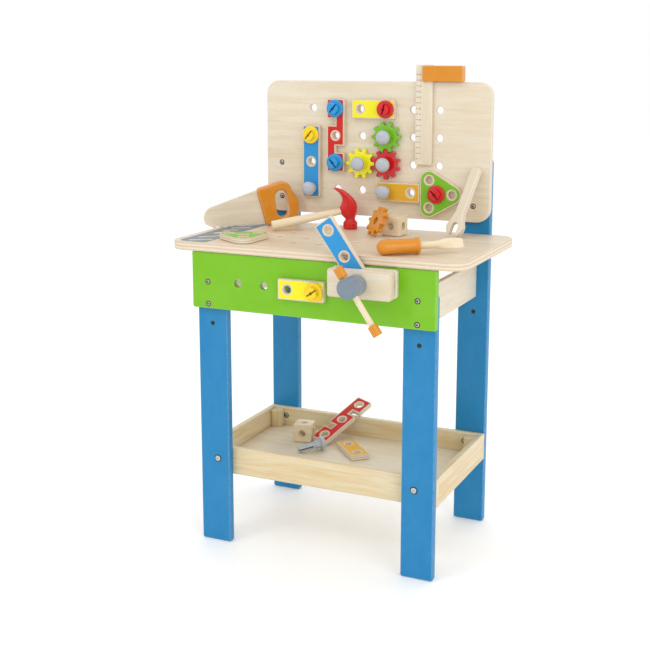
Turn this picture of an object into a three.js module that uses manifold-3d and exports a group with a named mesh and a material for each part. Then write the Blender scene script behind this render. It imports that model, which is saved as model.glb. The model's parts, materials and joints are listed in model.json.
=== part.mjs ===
// A child's toy workbench: a low table on four plank legs with a peg board behind, a vise on
// the front apron, a storage tray under the top, and wooden tools, plates, gears and pegs.
// Units are millimetres. +X is the bench's right, +Y its back, +Z up, and the floor is z = 0.
import * as THREE from 'three';
import { mergeVertices } from 'three/addons/utils/BufferGeometryUtils.js';
import Module from 'manifold-3d';

const wasm = await Module();
wasm.setup();

// ---- driving dimensions --------------------------------------------------------------------
const JOINT_GAP = 0.2;            // between boards that meet face to face
const REST_GAP = 0.3;             // under and beside loose pieces
const PEG_HOLE_R = 6;
const PEG_SHAFT_R = 5.3;
const PITCH = 42.86;              // distance between neighbouring peg holes
const HOLE_SIDES = 12;
const CORNER_STEPS = 4;

const LEG = { inner: 140, outer: 189.2, thick: 13, frontTop: 424, backTop: 589.7 };
const DEPTH = { apronFront: -171, legFront: -159.9, backLeg: 80.8 };
const APRON = { half: 192, bottom: 370, top: 455.4, thick: 11 };
const TOP = { half: 231, front: -174, bottom: 455.6, thick: 13, corner: 25 };
const TOP_Z = TOP.bottom + TOP.thick;
const RAIL = { outer: 169.7, thick: 9, bottom: 369.2, top: 423.6 };
const BACK_RAIL = { thick: 12, bottom: 410.5 };
const BOARD = {
  half: 191, bottom: 487, top: 700, thick: 9, corner: 22, columns: 6, rows: 4, firstZ: 657,
};
const BOARD_FRONT = DEPTH.backLeg - BOARD.thick;
const TRAY = { half: 189.4, bottom: 106.6, top: 148.9, wall: 9, floor: 5, floorTop: 117.5 };
const PLATE = { width: 30, thick: 8, corner: 3 };
const PLATE_FRONT = BOARD_FRONT - JOINT_GAP - PLATE.thick;
const GEAR = { teeth: 10, tipR: 24, rootR: 18.2, thick: 8.5 };
const GEAR_FRONT = BOARD_FRONT - JOINT_GAP - GEAR.thick;
const APRON_PEG_Z = 411.5;
const VISE = {
  x: 88, z: 432.7, left: 43, right: 137.5, low: 412.5, high: 452.5, corner: 4, backJaw: 9, frontJaw: 14,
};
const STRIP_LEAN = THREE.MathUtils.degToRad(35.3);   // how far the clamped strip leans to the left
const BAR_SLOPE = THREE.MathUtils.degToRad(55.8);    // how far the vise bar dips to the right
const CUBE = 30;

// The row's origin is the middle of the whole bench's base, so the bench is moved as one group.
const CENTRE = { x: 6.5, y: 64.5 };

// ---- colours ---------------------------------------------------------------------------------
const paint = (color, roughness = 0.45) => new THREE.MeshStandardMaterial(
  { color, roughness, metalness: 0 });
const MATERIAL = {
  blue: paint(0x3f86c4),
  green: paint(0x92cc3c),
  birch: paint(0xe7d8bc, 0.6),
  pine: paint(0xdec896, 0.6),
  top: paint(0xe1d0b4, 0.6),
  orange: paint(0xe8961e, 0.35),
  red: paint(0xe12323, 0.35),
  lemon: paint(0xf0f032),
  amber: paint(0xe1b92d),
  plateBlue: paint(0x46a0dc),
  grey: paint(0xb9bec6, 0.35),
  hub: paint(0x828e98),
};

// ---- geometry helpers ------------------------------------------------------------------------
const bench = new THREE.Group();
bench.position.set(CENTRE.x, CENTRE.y, 0);

function add(name, geometry, material, parent = bench) {
  const mesh = new THREE.Mesh(geometry, MATERIAL[material]);
  mesh.name = name;
  parent.add(mesh);
  return mesh;
}

// Points on an arc from angle a to angle b, both in degrees.
function arc(cx, cy, r, a, b, steps = CORNER_STEPS) {
  return Array.from({ length: steps + 1 }, (_, i) => {
    const t = THREE.MathUtils.degToRad(a + (b - a) * i / steps);
    return new THREE.Vector2(cx + r * Math.cos(t), cy + r * Math.sin(t));
  });
}

const ring = (x, y, r, sides = HOLE_SIDES) => arc(x, y, r, 0, 360 * (sides - 1) / sides, sides - 1);

function outline(points, holes = []) {
  const shape = new THREE.Shape(points.map((p) => (p.isVector2 ? p : new THREE.Vector2(...p))));
  holes.forEach(([x, y, r = PEG_HOLE_R]) => shape.holes.push(new THREE.Path(ring(x, y, r))));
  return shape;
}

// A rectangle whose corners are round; r is one radius, or four from the low left corner round.
function roundRect(x0, y0, x1, y1, r, holes = []) {
  const [a, b, c, d] = Array.isArray(r) ? r : [r, r, r, r];
  return outline([
    ...arc(x0 + a, y0 + a, a, 180, 270), ...arc(x1 - b, y0 + b, b, 270, 360),
    ...arc(x1 - c, y1 - c, c, 0, 90), ...arc(x0 + d, y1 - d, d, 90, 180),
  ], holes);
}

const extrude = (shape, depth) => new THREE.ExtrudeGeometry(
  shape, { depth, bevelEnabled: false, curveSegments: 1 });

// A board standing up: its outline is in x and z, and it fills y from front to front + thick.
function standing(shape, front, thick) {
  const geometry = extrude(shape, thick);
  geometry.rotateX(Math.PI / 2);
  geometry.translate(0, front + thick, 0);
  return geometry;
}

function lying(shape, bottom, thick) {
  const geometry = extrude(shape, thick);
  geometry.translate(0, 0, bottom);
  return geometry;
}

function block(x0, x1, y0, y1, z0, z1) {
  const geometry = new THREE.BoxGeometry(x1 - x0, y1 - y0, z1 - z0);
  geometry.translate((x0 + x1) / 2, (y0 + y1) / 2, (z0 + z1) / 2);
  return geometry;
}

// A turned piece: its profile of [radius, distance] pairs is spun round +Z.
function turned(profile, sides = HOLE_SIDES) {
  const geometry = new THREE.LatheGeometry(profile.map(([r, z]) => new THREE.Vector2(r, z)), sides);
  geometry.rotateX(Math.PI / 2);
  return geometry;
}

const rod = (radius, z0, z1, sides = HOLE_SIDES) => turned(
  [[0, z0], [radius, z0], [radius, z1], [0, z1]], sides);

// ---- joining and cutting ---------------------------------------------------------------------
function toSolid(geometry) {
  const bare = geometry.clone();
  bare.deleteAttribute('normal');
  bare.deleteAttribute('uv');
  const merged = mergeVertices(bare, 1e-4);
  return new wasm.Manifold(new wasm.Mesh({
    numProp: 3,
    vertProperties: new Float32Array(merged.attributes.position.array),
    triVerts: new Uint32Array(merged.index.array),
  }));
}

function fromSolid(solid) {
  const mesh = solid.getMesh();
  const geometry = new THREE.BufferGeometry();
  geometry.setAttribute('position', new THREE.BufferAttribute(mesh.vertProperties, 3));
  geometry.setIndex(new THREE.BufferAttribute(mesh.triVerts, 1));
  geometry.computeVertexNormals();
  return geometry;
}

const cut = (body, ...tools) => fromSolid(
  tools.reduce((solid, tool) => solid.subtract(toSolid(tool)), toSolid(body)));
const join = (first, ...others) => fromSolid(
  others.reduce((solid, other) => solid.add(toSolid(other)), toSolid(first)));
const common = (a, b) => fromSolid(toSolid(a).intersect(toSolid(b)));

const moved = (geometry, x, y, z) => geometry.clone().translate(x, y, z);

// ---- frame: legs, apron, rails, top, board -----------------------------------------------------
for (const [side, name] of [[-1, 'left'], [1, 'right']]) {
  const x0 = Math.min(side * LEG.inner, side * LEG.outer);
  const x1 = Math.max(side * LEG.inner, side * LEG.outer);
  const topCorners = [3, 3, 14, 14];
  const frontShape = roundRect(x0, 0, x1, LEG.frontTop, topCorners);
  const backShape = roundRect(x0, 0, x1, LEG.backTop, topCorners);
  add(`leg_front_${name}`, standing(frontShape, DEPTH.legFront, LEG.thick), 'blue');
  add(`leg_back_${name}`, standing(backShape, DEPTH.backLeg, LEG.thick), 'blue');
  const outer = side * RAIL.outer;
  const inner = side * (RAIL.outer - RAIL.thick);
  add(`side_rail_${name}`, block(Math.min(outer, inner), Math.max(outer, inner),
    DEPTH.legFront + LEG.thick + JOINT_GAP, DEPTH.backLeg - JOINT_GAP, RAIL.bottom, RAIL.top), 'birch');
}

const railSpan = RAIL.outer - RAIL.thick - JOINT_GAP;
const railBack = DEPTH.backLeg - JOINT_GAP;
add('back_rail', block(
  -railSpan, railSpan, railBack - BACK_RAIL.thick, railBack, BACK_RAIL.bottom, APRON.top), 'birch');

const apronHoles = [0, 1, 2, 3].map((i) => [-115.8 + i * PITCH, APRON_PEG_Z]);
add('front_apron', standing(
  roundRect(-APRON.half, APRON.bottom, APRON.half, APRON.top, 3, [...apronHoles, [VISE.x, VISE.z]]),
  DEPTH.apronFront, APRON.thick - JOINT_GAP), 'green');

// The holes in the top run in two nested Vs that point to the front.
const TOP_V = { x: -10, y: -111.4, arms: 2 };
const topHoles = [];
for (let step = -TOP_V.arms; step <= TOP_V.arms; step += 1) {
  topHoles.push([TOP_V.x + step * PITCH, TOP_V.y + Math.abs(step) * PITCH]);
  if (step !== 0) topHoles.push([TOP_V.x + step * PITCH, TOP_V.y + (Math.abs(step) - 1) * PITCH]);
}
add('worktop', lying(
  roundRect(-TOP.half, TOP.front, TOP.half, DEPTH.backLeg - JOINT_GAP, TOP.corner, topHoles),
  TOP.bottom, TOP.thick), 'top');

// Peg board holes, counted from the left column and the top row.
const boardX = (column) => (column - (BOARD.columns - 1) / 2) * PITCH;
const boardZ = (row) => BOARD.firstZ - row * PITCH;
const boardHoles = [];
for (let column = 0; column < BOARD.columns; column += 1) {
  for (let row = 0; row < BOARD.rows; row += 1) boardHoles.push([boardX(column), boardZ(row)]);
}
add('pegboard', standing(
  roundRect(-BOARD.half, BOARD.bottom, BOARD.half, BOARD.top, BOARD.corner, boardHoles),
  BOARD_FRONT, BOARD.thick - JOINT_GAP), 'birch');

// ---- tray ----------------------------------------------------------------------------------------
const trayFront = DEPTH.legFront + LEG.thick + JOINT_GAP;
const trayBack = DEPTH.backLeg - JOINT_GAP;
const insideFront = trayFront + TRAY.wall + JOINT_GAP;
const insideBack = trayBack - TRAY.wall - JOINT_GAP;
const insideX = TRAY.half - TRAY.wall - JOINT_GAP;
const wall = (x0, x1, y0, y1) => block(x0, x1, y0, y1, TRAY.bottom, TRAY.top);
add('tray_front', wall(-TRAY.half, TRAY.half, trayFront, trayFront + TRAY.wall), 'pine');
add('tray_back', wall(-TRAY.half, TRAY.half, trayBack - TRAY.wall, trayBack), 'pine');
add('tray_left', wall(-TRAY.half, -TRAY.half + TRAY.wall, insideFront, insideBack), 'pine');
add('tray_right', wall(TRAY.half - TRAY.wall, TRAY.half, insideFront, insideBack), 'pine');
add('tray_floor', block(
  -insideX, insideX, insideFront, insideBack, TRAY.floorTop - TRAY.floor, TRAY.floorTop), 'birch');

// ---- pegs, screws, plates and gears ------------------------------------------------------------
// A strip or plate with its holes on one line; its first hole is at the origin and the rest run
// along +X. Notches are taken out of the long edges as [middle, half width, side].
const NOTCH_DEPTH = 15;
function plate(count, notches = []) {
  const end = (count - 1) * PITCH + PLATE.width / 2;
  const holes = Array.from({ length: count }, (_, i) => [i * PITCH, 0]);
  const half = PLATE.width / 2;
  const body = extrude(roundRect(-half, -half, end, half, PLATE.corner, holes), PLATE.thick);
  if (notches.length === 0) return body;
  const tools = notches.map(([middle, halfWidth, side]) => {
    const deep = side * (half - NOTCH_DEPTH);
    const out = side * (half + 1);
    return block(
      middle - halfWidth, middle + halfWidth, Math.min(deep, out), Math.max(deep, out), -1, PLATE.thick + 1);
  });
  return cut(body, ...tools);
}

// Three holes on an equilateral triangle of the peg pitch, round the middle hole.
function trianglePlate() {
  const reach = PITCH / Math.sqrt(3);
  const corners = [0, 120, 240].map((a) => [
    reach * Math.cos(THREE.MathUtils.degToRad(a)), reach * Math.sin(THREE.MathUtils.degToRad(a)), a]);
  const points = corners.flatMap(([x, y, a]) => arc(x, y, PLATE.width / 2, a - 60, a + 60, 6));
  return extrude(outline(points, [[0, 0], ...corners.map(([x, y]) => [x, y])]), PLATE.thick);
}

function gearWheel() {
  const step = 360 / GEAR.teeth;
  const points = [];
  for (let i = 0; i < GEAR.teeth; i += 1) {
    [[-0.26, GEAR.rootR], [-0.13, GEAR.tipR], [0.13, GEAR.tipR], [0.26, GEAR.rootR]].forEach(([share, r]) => {
      const a = THREE.MathUtils.degToRad((i + share) * step);
      points.push([r * Math.cos(a), r * Math.sin(a)]);
    });
  }
  return extrude(outline(points, [[0, 0]]), GEAR.thick);
}

// A turned peg with a domed head, a thick neck and a shaft that is slit so that it springs. The
// plate's front face is z = 0, and the head points to +Z.
const NAIL = { headR: 11.3, rim: 2.4, dome: 7, neckR: 7.2, neck: 8.5, shaft: 28.5, slitDepth: 24, slit: 2 };
function nail() {
  const domeStart = NAIL.neck + NAIL.rim;
  const dome = [60, 40, 20].map((a) => {
    const t = THREE.MathUtils.degToRad(a);
    return [NAIL.headR * Math.sin(t), domeStart + NAIL.dome * (Math.cos(t))];
  });
  const body = turned([[0, -NAIL.shaft], [PEG_SHAFT_R, -NAIL.shaft], [PEG_SHAFT_R, 0], [NAIL.neckR, 0],
    [NAIL.neckR, NAIL.neck], [NAIL.headR, NAIL.neck], [NAIL.headR, domeStart], ...dome,
    [0, domeStart + NAIL.dome]], 14);
  const across = NAIL.neckR + 1;
  return cut(body, block(
    -NAIL.slit / 2, NAIL.slit / 2, -across, across, -NAIL.shaft - 1, -NAIL.shaft + NAIL.slitDepth));
}

// A coloured screw: a round flange, a hexagonal head with a slot across it, and a plain shaft.
const SCREW = {
  flangeR: 14, flange: 4, hexR: 9.2, head: 12, slot: 2.6, slotDepth: 3, dimpleR: 2, dimple: 4.5,
};
function screw(shaft = 19) {
  const body = join(
    turned([[0, -shaft], [PEG_SHAFT_R, -shaft], [PEG_SHAFT_R, 0], [SCREW.flangeR, 0],
      [SCREW.flangeR, SCREW.flange - 1], [SCREW.flangeR - 1, SCREW.flange], [0, SCREW.flange]]),
    rod(SCREW.hexR, 1, SCREW.head, 6));
  return cut(body,
    block(-12, 12, -SCREW.slot / 2, SCREW.slot / 2, SCREW.head - SCREW.slotDepth, SCREW.head + 1),
    rod(SCREW.dimpleR, SCREW.head - SCREW.dimple, SCREW.head + 1, 8));
}

// Puts a piece that was made lying on z = 0 against the peg board or apron: local +Z points to
// the front, local +X to the right, and the piece is turned by spin degrees as seen from there.
function mount(name, geometry, material, x, y, z, spin = 0) {
  const mesh = add(name, geometry, material);
  mesh.rotation.set(Math.PI / 2, 0, 0);
  mesh.rotateZ(THREE.MathUtils.degToRad(spin));
  mesh.position.set(x, y, z);
  return mesh;
}

const pin = (name, geometry, material, column, row, spin = 0) => mount(
  name, geometry, material, boardX(column), PLATE_FRONT - JOINT_GAP, boardZ(row), spin);
const fix = (name, geometry, material, column, row, spin = 0) => mount(
  name, geometry, material, boardX(column), BOARD_FRONT - JOINT_GAP, boardZ(row), spin);

const RED_NOTCHES = [[PITCH / 2, 5.3, -1], [PITCH * 1.5, 5.3, 1]];
fix('blue_strip', plate(3), 'plateBlue', 0, 1, -90);
pin('yellow_screw', screw(), 'lemon', 0, 1, 20);
pin('strip_nail', nail(), 'grey', 0, 3);
fix('red_strip', plate(3, RED_NOTCHES), 'red', 1, 0, -90);
pin('blue_screw_upper', screw(), 'plateBlue', 1, 0, 35);
pin('blue_screw_lower', screw(), 'plateBlue', 1, 2, 50);
fix('yellow_plate', plate(2), 'lemon', 2, 0);
pin('red_screw', screw(), 'red', 3, 0, 60);
fix('amber_plate', plate(2), 'amber', 3, 3);
pin('plate_nail', nail(), 'grey', 3, 3);
fix('triangle_plate', trianglePlate(), 'green', 5, 3);
pin('triangle_screw', screw(), 'red', 5, 3, 45);
for (const [name, material, column, row, phase] of [
  ['green_gear', 'green', 3, 1, 0], ['yellow_gear', 'lemon', 2, 2, 0], ['red_gear', 'red', 3, 2, 18]]) {
  fix(name, gearWheel(), material, column, row, phase);
  const nailBack = GEAR_FRONT - JOINT_GAP;
  mount(name.replace('gear', 'gear_nail'), nail(), 'grey', boardX(column), nailBack, boardZ(row));
}

// ---- apron plate -----------------------------------------------------------------------------------
const apronPlateY = DEPTH.apronFront - JOINT_GAP;
mount('apron_plate', plate(2), 'lemon', apronHoles[2][0], apronPlateY, APRON_PEG_Z);
const LONG_SHAFT = 21;
const apronScrewY = apronPlateY - PLATE.thick - JOINT_GAP;
mount('apron_screw', screw(LONG_SHAFT), 'lemon', apronHoles[3][0], apronScrewY, APRON_PEG_Z, 15);

// ---- vise --------------------------------------------------------------------------------------------
const jawShape = () => roundRect(
  VISE.left, VISE.low, VISE.right, VISE.high, VISE.corner, [[VISE.x, VISE.z]]);
const backJawFront = DEPTH.apronFront - JOINT_GAP - VISE.backJaw;
const stripBack = backJawFront - JOINT_GAP;
const frontJawBack = stripBack - PLATE.thick - JOINT_GAP;
const frontJawFront = frontJawBack - VISE.frontJaw;
add('vise_back_jaw', standing(jawShape(), backJawFront, VISE.backJaw), 'birch');
add('vise_front_jaw', standing(jawShape(), frontJawFront, VISE.frontJaw), 'birch');
const stripSpin = 90 + THREE.MathUtils.radToDeg(STRIP_LEAN);
mount('clamped_strip', plate(3), 'plateBlue', VISE.x, stripBack, VISE.z, stripSpin);

const HUB = { r: 15, length: 34.3, socket: 13, barAt: 23.5, edge: 1.5 };
const BAR = { r: 4.2, boreR: 4.6, capR: 7, cap: 16, socket: 9, from: -15.7, to: 58.6 };
const barAxis = new THREE.Vector3(Math.cos(BAR_SLOPE), 0, -Math.sin(BAR_SLOPE));
const hubBack = frontJawFront - JOINT_GAP;
const hubSocketR = PEG_SHAFT_R + REST_GAP;
const hubBody = turned([[0, HUB.socket], [hubSocketR, HUB.socket], [hubSocketR, 0], [HUB.r, 0],
  [HUB.r, HUB.length - HUB.edge], [HUB.r - HUB.edge, HUB.length], [0, HUB.length]], 24);
const barBore = rod(BAR.boreR, -HUB.r - 5, HUB.r + 5);
barBore.rotateY(Math.PI / 2);
barBore.rotateZ(-BAR_SLOPE);
mount('vise_hub', cut(hubBody, moved(barBore, 0, 0, HUB.barAt)), 'hub', VISE.x, hubBack, VISE.z);

const SCREW_END = -128;           // where the vise screw ends behind the apron
const viseScrew = rod(PEG_SHAFT_R, hubBack - SCREW_END, HUB.socket - REST_GAP);
mount('vise_screw', viseScrew, 'pine', VISE.x, hubBack, VISE.z);
const NUT = { r: 12.5, thick: 8 };
const nutBack = DEPTH.legFront + NUT.thick;
const nutBody = cut(rod(NUT.r, 0, NUT.thick - JOINT_GAP, 6), rod(PEG_HOLE_R, -1, NUT.thick + 1));
mount('vise_nut', nutBody, 'birch', VISE.x, nutBack, VISE.z, 30);

const barCentre = new THREE.Vector3(VISE.x, hubBack - HUB.barAt, VISE.z);
function alongBar(name, geometry, material, distance, flip = false) {
  const mesh = add(name, geometry, material);
  mesh.position.copy(barCentre).addScaledVector(barAxis, distance);
  mesh.quaternion.setFromUnitVectors(new THREE.Vector3(0, 0, 1), flip ? barAxis.clone().negate() : barAxis);
}
const capSocketR = BAR.r + REST_GAP;
const capProfile = [[0, BAR.socket], [capSocketR, BAR.socket], [capSocketR, 0], [BAR.capR, 0],
  [BAR.capR, BAR.cap - 1], [BAR.capR - 1, BAR.cap], [0, BAR.cap]];
const barDepth = BAR.socket - REST_GAP;
alongBar('vise_bar', rod(BAR.r, BAR.from - barDepth, BAR.to + barDepth), 'birch', 0);
alongBar('bar_cap_upper', turned(capProfile, 14), 'orange', BAR.from, true);
alongBar('bar_cap_lower', turned(capProfile, 14), 'orange', BAR.to);

// ---- tools on the bench ------------------------------------------------------------------------------
// A loose piece is built in a group of its own, which stands on the worktop.
function toolGroup(x, y, z, yaw = 0) {
  const group = new THREE.Group();
  group.position.set(x, y, z);
  group.rotation.z = THREE.MathUtils.degToRad(yaw);
  bench.add(group);
  return group;
}

// Saw: it stands on edge, and its outline is in x and z of its own group, the tip at low x.
const SAW = { thick: 5, handleThick: 15, waves: 5, wave: 14, waveHeight: 2.2, waveStart: -142 };
const saw = toolGroup(-129.4, 60, TOP_Z + REST_GAP, 44.2);
const wavyEdge = [];
for (let i = 0; i <= SAW.waves * 4; i += 1) {
  const lift = SAW.waveHeight * (1 - Math.cos(i * Math.PI / 2)) / 2;
  wavyEdge.push([SAW.waveStart + i * SAW.wave / 4, lift + i * 0.06]);
}
const bladeOutline = [...wavyEdge, [-45, 4], [-45, 54], [-72, 57.5], ...arc(-139.5, 16.5, 18, 106, 216, 6)];
const blade = standing(outline(bladeOutline), -SAW.thick / 2, SAW.thick);
const handleOutline = [
  ...arc(-49, 9, 8.5, 180, 270, 3), ...arc(-14, 14, 14, 270, 350, 3), ...arc(-20, 34, 20, -5, 20, 2),
  ...arc(-29, 54, 17, 12, 95, 4), ...arc(-62, 54.5, 8, 115, 190, 3)];
const handleSolid = toSolid(standing(outline(handleOutline), -SAW.handleThick / 2, SAW.handleThick));
const gripHole = [...arc(-30, 46, 10.5, 10, 190, 6), ...arc(-27, 24, 10.5, 190, 370, 6)];
const gripCut = toSolid(standing(outline(gripHole), -20, 40));
const slotEnd = -45 + REST_GAP;
const bladeSlot = toSolid(standing(
  outline([[-80, 0], [slotEnd, 0], [slotEnd, 56], [-80, 62]]),
  -SAW.thick / 2 - REST_GAP, SAW.thick + 2 * REST_GAP));
add('saw_blade', blade, 'birch', saw);
add('saw_handle', fromSolid(handleSolid.subtract(gripCut).subtract(bladeSlot)), 'orange', saw);

// Hammer: the head stands on its poll, and the handle slopes down from it to the worktop.
const HAMMER = {
  yaw: 216.2, headThick: 18, pollR: 11.4, poll: 11, neckR: 7.8, entry: 28, slope: 10.2, length: 128,
};
const hammer = toolGroup(-30, 46, TOP_Z + REST_GAP, HAMMER.yaw);
const clawOutline = [
  [-5.8, 14], [9.5, 14], [15, 21], [17.5, 33], [13.6, 41], [13.9, 51], [19, 58], [27.8, 64],
  [20.7, 65.4], [9.4, 60.7], [-2, 51.6], [-8.2, 43], [-10.8, 33.5], [-9.9, 25]];
const claw = standing(outline(clawOutline), -HAMMER.headThick / 2, HAMMER.headThick);
const poll = turned([[0, 0], [HAMMER.pollR - 1, 0], [HAMMER.pollR, 1.5], [HAMMER.pollR, HAMMER.poll],
  [HAMMER.neckR, HAMMER.poll + 4], [HAMMER.neckR, 20], [0, 20]]);
const shaftTilt = Math.PI / 2 + THREE.MathUtils.degToRad(HAMMER.slope);
function hammerShaft(grow, start) {
  const geometry = turned([[0, start], [4.9 + grow, start], [5.2 + grow, 20], [7.2 + grow, 100],
    [7.4 + grow, HAMMER.length - 2], [6.2 + grow, HAMMER.length], [0, HAMMER.length]], 14);
  geometry.rotateY(shaftTilt);
  geometry.translate(0, 0, HAMMER.entry + 3);
  return geometry;
}
add('hammer_head', cut(join(claw, poll), hammerShaft(REST_GAP, -4)), 'red', hammer);
add('hammer_handle', hammerShaft(0, -3), 'birch', hammer);

// Screwdriver: it lies on its handle's flange and butt, so the shank is clear of the worktop.
const DRIVER = {
  handle: 60, socket: 14, r: 10.6, flangeR: 11.8, shankR: 5.2, flareR: 8, tipR: 6.3, total: 124, rise: 1.3,
};
const driver = toolGroup(102.7, -167, TOP_Z + DRIVER.r + REST_GAP, 36);
const driverLying = new THREE.Group();
driverLying.rotation.y = Math.PI / 2 - THREE.MathUtils.degToRad(DRIVER.rise);
driver.add(driverLying);
const socketR = DRIVER.shankR + REST_GAP;
const socketEnd = DRIVER.handle - DRIVER.socket;
add('screwdriver_handle', turned([
  [0, 0], [4.5, 1.2], [8, 3.8], [10, 7.5], [DRIVER.r, 12], [DRIVER.r, DRIVER.handle - 5],
  [DRIVER.flangeR, DRIVER.handle - 4], [DRIVER.flangeR, DRIVER.handle - 1],
  [DRIVER.flangeR - 1, DRIVER.handle], [socketR, DRIVER.handle], [socketR, socketEnd],
  [0, socketEnd]]), 'orange', driverLying);
const shankStart = socketEnd + REST_GAP;
const shankBar = turned([
  [0, shankStart], [DRIVER.shankR, shankStart], [DRIVER.shankR, 86], [DRIVER.flareR, 99],
  [DRIVER.flareR, 112], [DRIVER.tipR, DRIVER.total], [0, DRIVER.total]]);
const wedge = extrude(outline([
  [-9, shankStart - 1], [9, shankStart - 1], [9, 89], [4, 103], [1.5, DRIVER.total + 1],
  [-1.5, DRIVER.total + 1], [-4, 103], [-9, 89]]), 20);
wedge.translate(0, 0, -10);
wedge.rotateX(Math.PI / 2);
wedge.rotateZ(THREE.MathUtils.degToRad(65));
add('screwdriver_shank', common(shankBar, wedge), 'birch', driverLying);

// Try square: the blade hangs on the front of the board from its stock, which rests on the top edge.
const SQUARE = {
  left: 70, right: 97, low: 573, blade: 6, stockLeft: 81.5, stockRight: 146, stockHigh: 724.5, stock: 16,
};
const squareFront = BOARD_FRONT - REST_GAP - SQUARE.blade;
const stockFront = squareFront - (SQUARE.stock - SQUARE.blade) / 2;
const bladeHigh = SQUARE.stockHigh + 1.2;
add('square_blade', block(
  SQUARE.left, SQUARE.right, squareFront, squareFront + SQUARE.blade, SQUARE.low, bladeHigh), 'birch');
const stockLow = BOARD.top + REST_GAP;
add('square_stock', cut(
  block(
    SQUARE.stockLeft, SQUARE.stockRight, stockFront, stockFront + SQUARE.stock, stockLow, SQUARE.stockHigh),
  block(SQUARE.left, SQUARE.right + REST_GAP, squareFront - REST_GAP, squareFront + SQUARE.blade + REST_GAP,
    stockLow - 1, SQUARE.stockHigh + 1)), 'orange');

// Wrench: it stands on its open jaw and leans back against the board. Its outline is in x and y,
// with the jaw's opening at low y, before it is stood up.
const WRENCH = {
  width: 15, thick: 9, jawR: 15, jawY: 14, length: 110, slot: 12, neckY: 37, lean: 22.3, roll: 7.5,
};
const half = WRENCH.width / 2;
const slotHalf = WRENCH.slot / 2;
const wrenchOutline = [
  [-slotHalf, 1.2], [-slotHalf, WRENCH.jawY], ...arc(0, WRENCH.jawY + 1, slotHalf, 180, 0, 5),
  [slotHalf, WRENCH.jawY], [slotHalf, 1.2], ...arc(0, WRENCH.jawY, WRENCH.jawR, -60, 40, 6),
  ...arc(half + 5, WRENCH.neckY, 5, 220, 180, 2),
  ...arc(half - 4, WRENCH.length - 4, 4, 0, 90, 3), ...arc(-half + 4, WRENCH.length - 4, 4, 90, 180, 3),
  ...arc(-half - 5, WRENCH.neckY, 5, 0, -40, 2), ...arc(0, WRENCH.jawY, WRENCH.jawR, 140, 240, 6)];
const wrench = toolGroup(146, 29, TOP_Z + 2, -17);
const wrenchLeaning = new THREE.Group();
wrenchLeaning.rotation.x = THREE.MathUtils.degToRad(90 - WRENCH.lean);
wrench.add(wrenchLeaning);
const wrenchBody = lying(outline(wrenchOutline), -WRENCH.thick / 2, WRENCH.thick);
wrenchBody.rotateZ(THREE.MathUtils.degToRad(-WRENCH.roll));
add('wrench', wrenchBody, 'birch', wrenchLeaning);

// ---- loose pieces on the bench ------------------------------------------------------------------------
function drilledCube() {
  const c = CUBE / 2;
  const upright = rod(PEG_HOLE_R, -20, 20);
  const across = upright.clone().rotateX(Math.PI / 2);
  const side = upright.clone().rotateY(Math.PI / 2);
  const geometry = cut(block(-c, c, -c, c, -c, c), upright, across, side);
  geometry.translate(0, 0, c);
  return geometry;
}
const cubeAt = toolGroup(57.5, 15.4, TOP_Z + REST_GAP, -6);
add('bench_cube', drilledCube(), 'birch', cubeAt);
const looseTriangle = toolGroup(-129.6, -124.2, TOP_Z + REST_GAP, 177);
add('loose_triangle', trianglePlate(), 'green', looseTriangle);

// The orange gear stands on two teeth and leans back against the cube's nearest edge.
const leaningGear = toolGroup(39.2, -9.2, TOP_Z + 22.9, -43);
const gearTilt = new THREE.Group();
gearTilt.rotation.x = THREE.MathUtils.degToRad(-26.6);
leaningGear.add(gearTilt);
const uprightGear = gearWheel();
uprightGear.rotateX(Math.PI / 2);
uprightGear.translate(0, GEAR.thick / 2, 0);
add('orange_gear', uprightGear, 'orange', gearTilt);

// ---- loose pieces in the tray --------------------------------------------------------------------------
const trayZ = TRAY.floorTop + REST_GAP;
const trayCube = toolGroup(-97, 14.5, trayZ, 10);
add('tray_cube', drilledCube(), 'birch', trayCube);

const trayPlate = toolGroup(0.4, -9.6, trayZ, -47);
const trayPlateGeometry = plate(2);
trayPlateGeometry.translate(-PITCH / 2, 0, 0);
add('tray_plate', trayPlateGeometry, 'amber', trayPlate);

// The notched strip stands on one corner and leans on the back wall's top edge.
const STRIP_TILT = Math.atan((TRAY.top - TRAY.floorTop) / insideBack);
const trayStrip = toolGroup(-51.5, 0, trayZ);
trayStrip.rotation.x = STRIP_TILT;
const OVER_NOTCHES = RED_NOTCHES.map(([middle, halfWidth, side]) => [middle, halfWidth, -side]);
const trayStripGeometry = plate(3, OVER_NOTCHES);
trayStripGeometry.translate(PLATE.width / 2, PLATE.width / 2, 0);
trayStripGeometry.rotateZ(THREE.MathUtils.degToRad(70));
add('tray_strip', trayStripGeometry, 'red', trayStrip);

// The spare peg lies on its head's rim and the tip of its shaft.
const trayNail = toolGroup(-57.4, -28.4, trayZ + 10.2, 45);
const nailLying = new THREE.Group();
nailLying.rotation.y = THREE.MathUtils.degToRad(90 - 9);
trayNail.add(nailLying);
add('tray_nail', nail(), 'grey', nailLying);

export default bench;
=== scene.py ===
import json
import math

import bpy
import numpy as np
from bpy.props import FloatProperty, FloatVectorProperty, PointerProperty
from bpy.types import Operator, Panel, PropertyGroup
from mathutils import Matrix, Vector
from mathutils.geometry import tessellate_polygon


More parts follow.
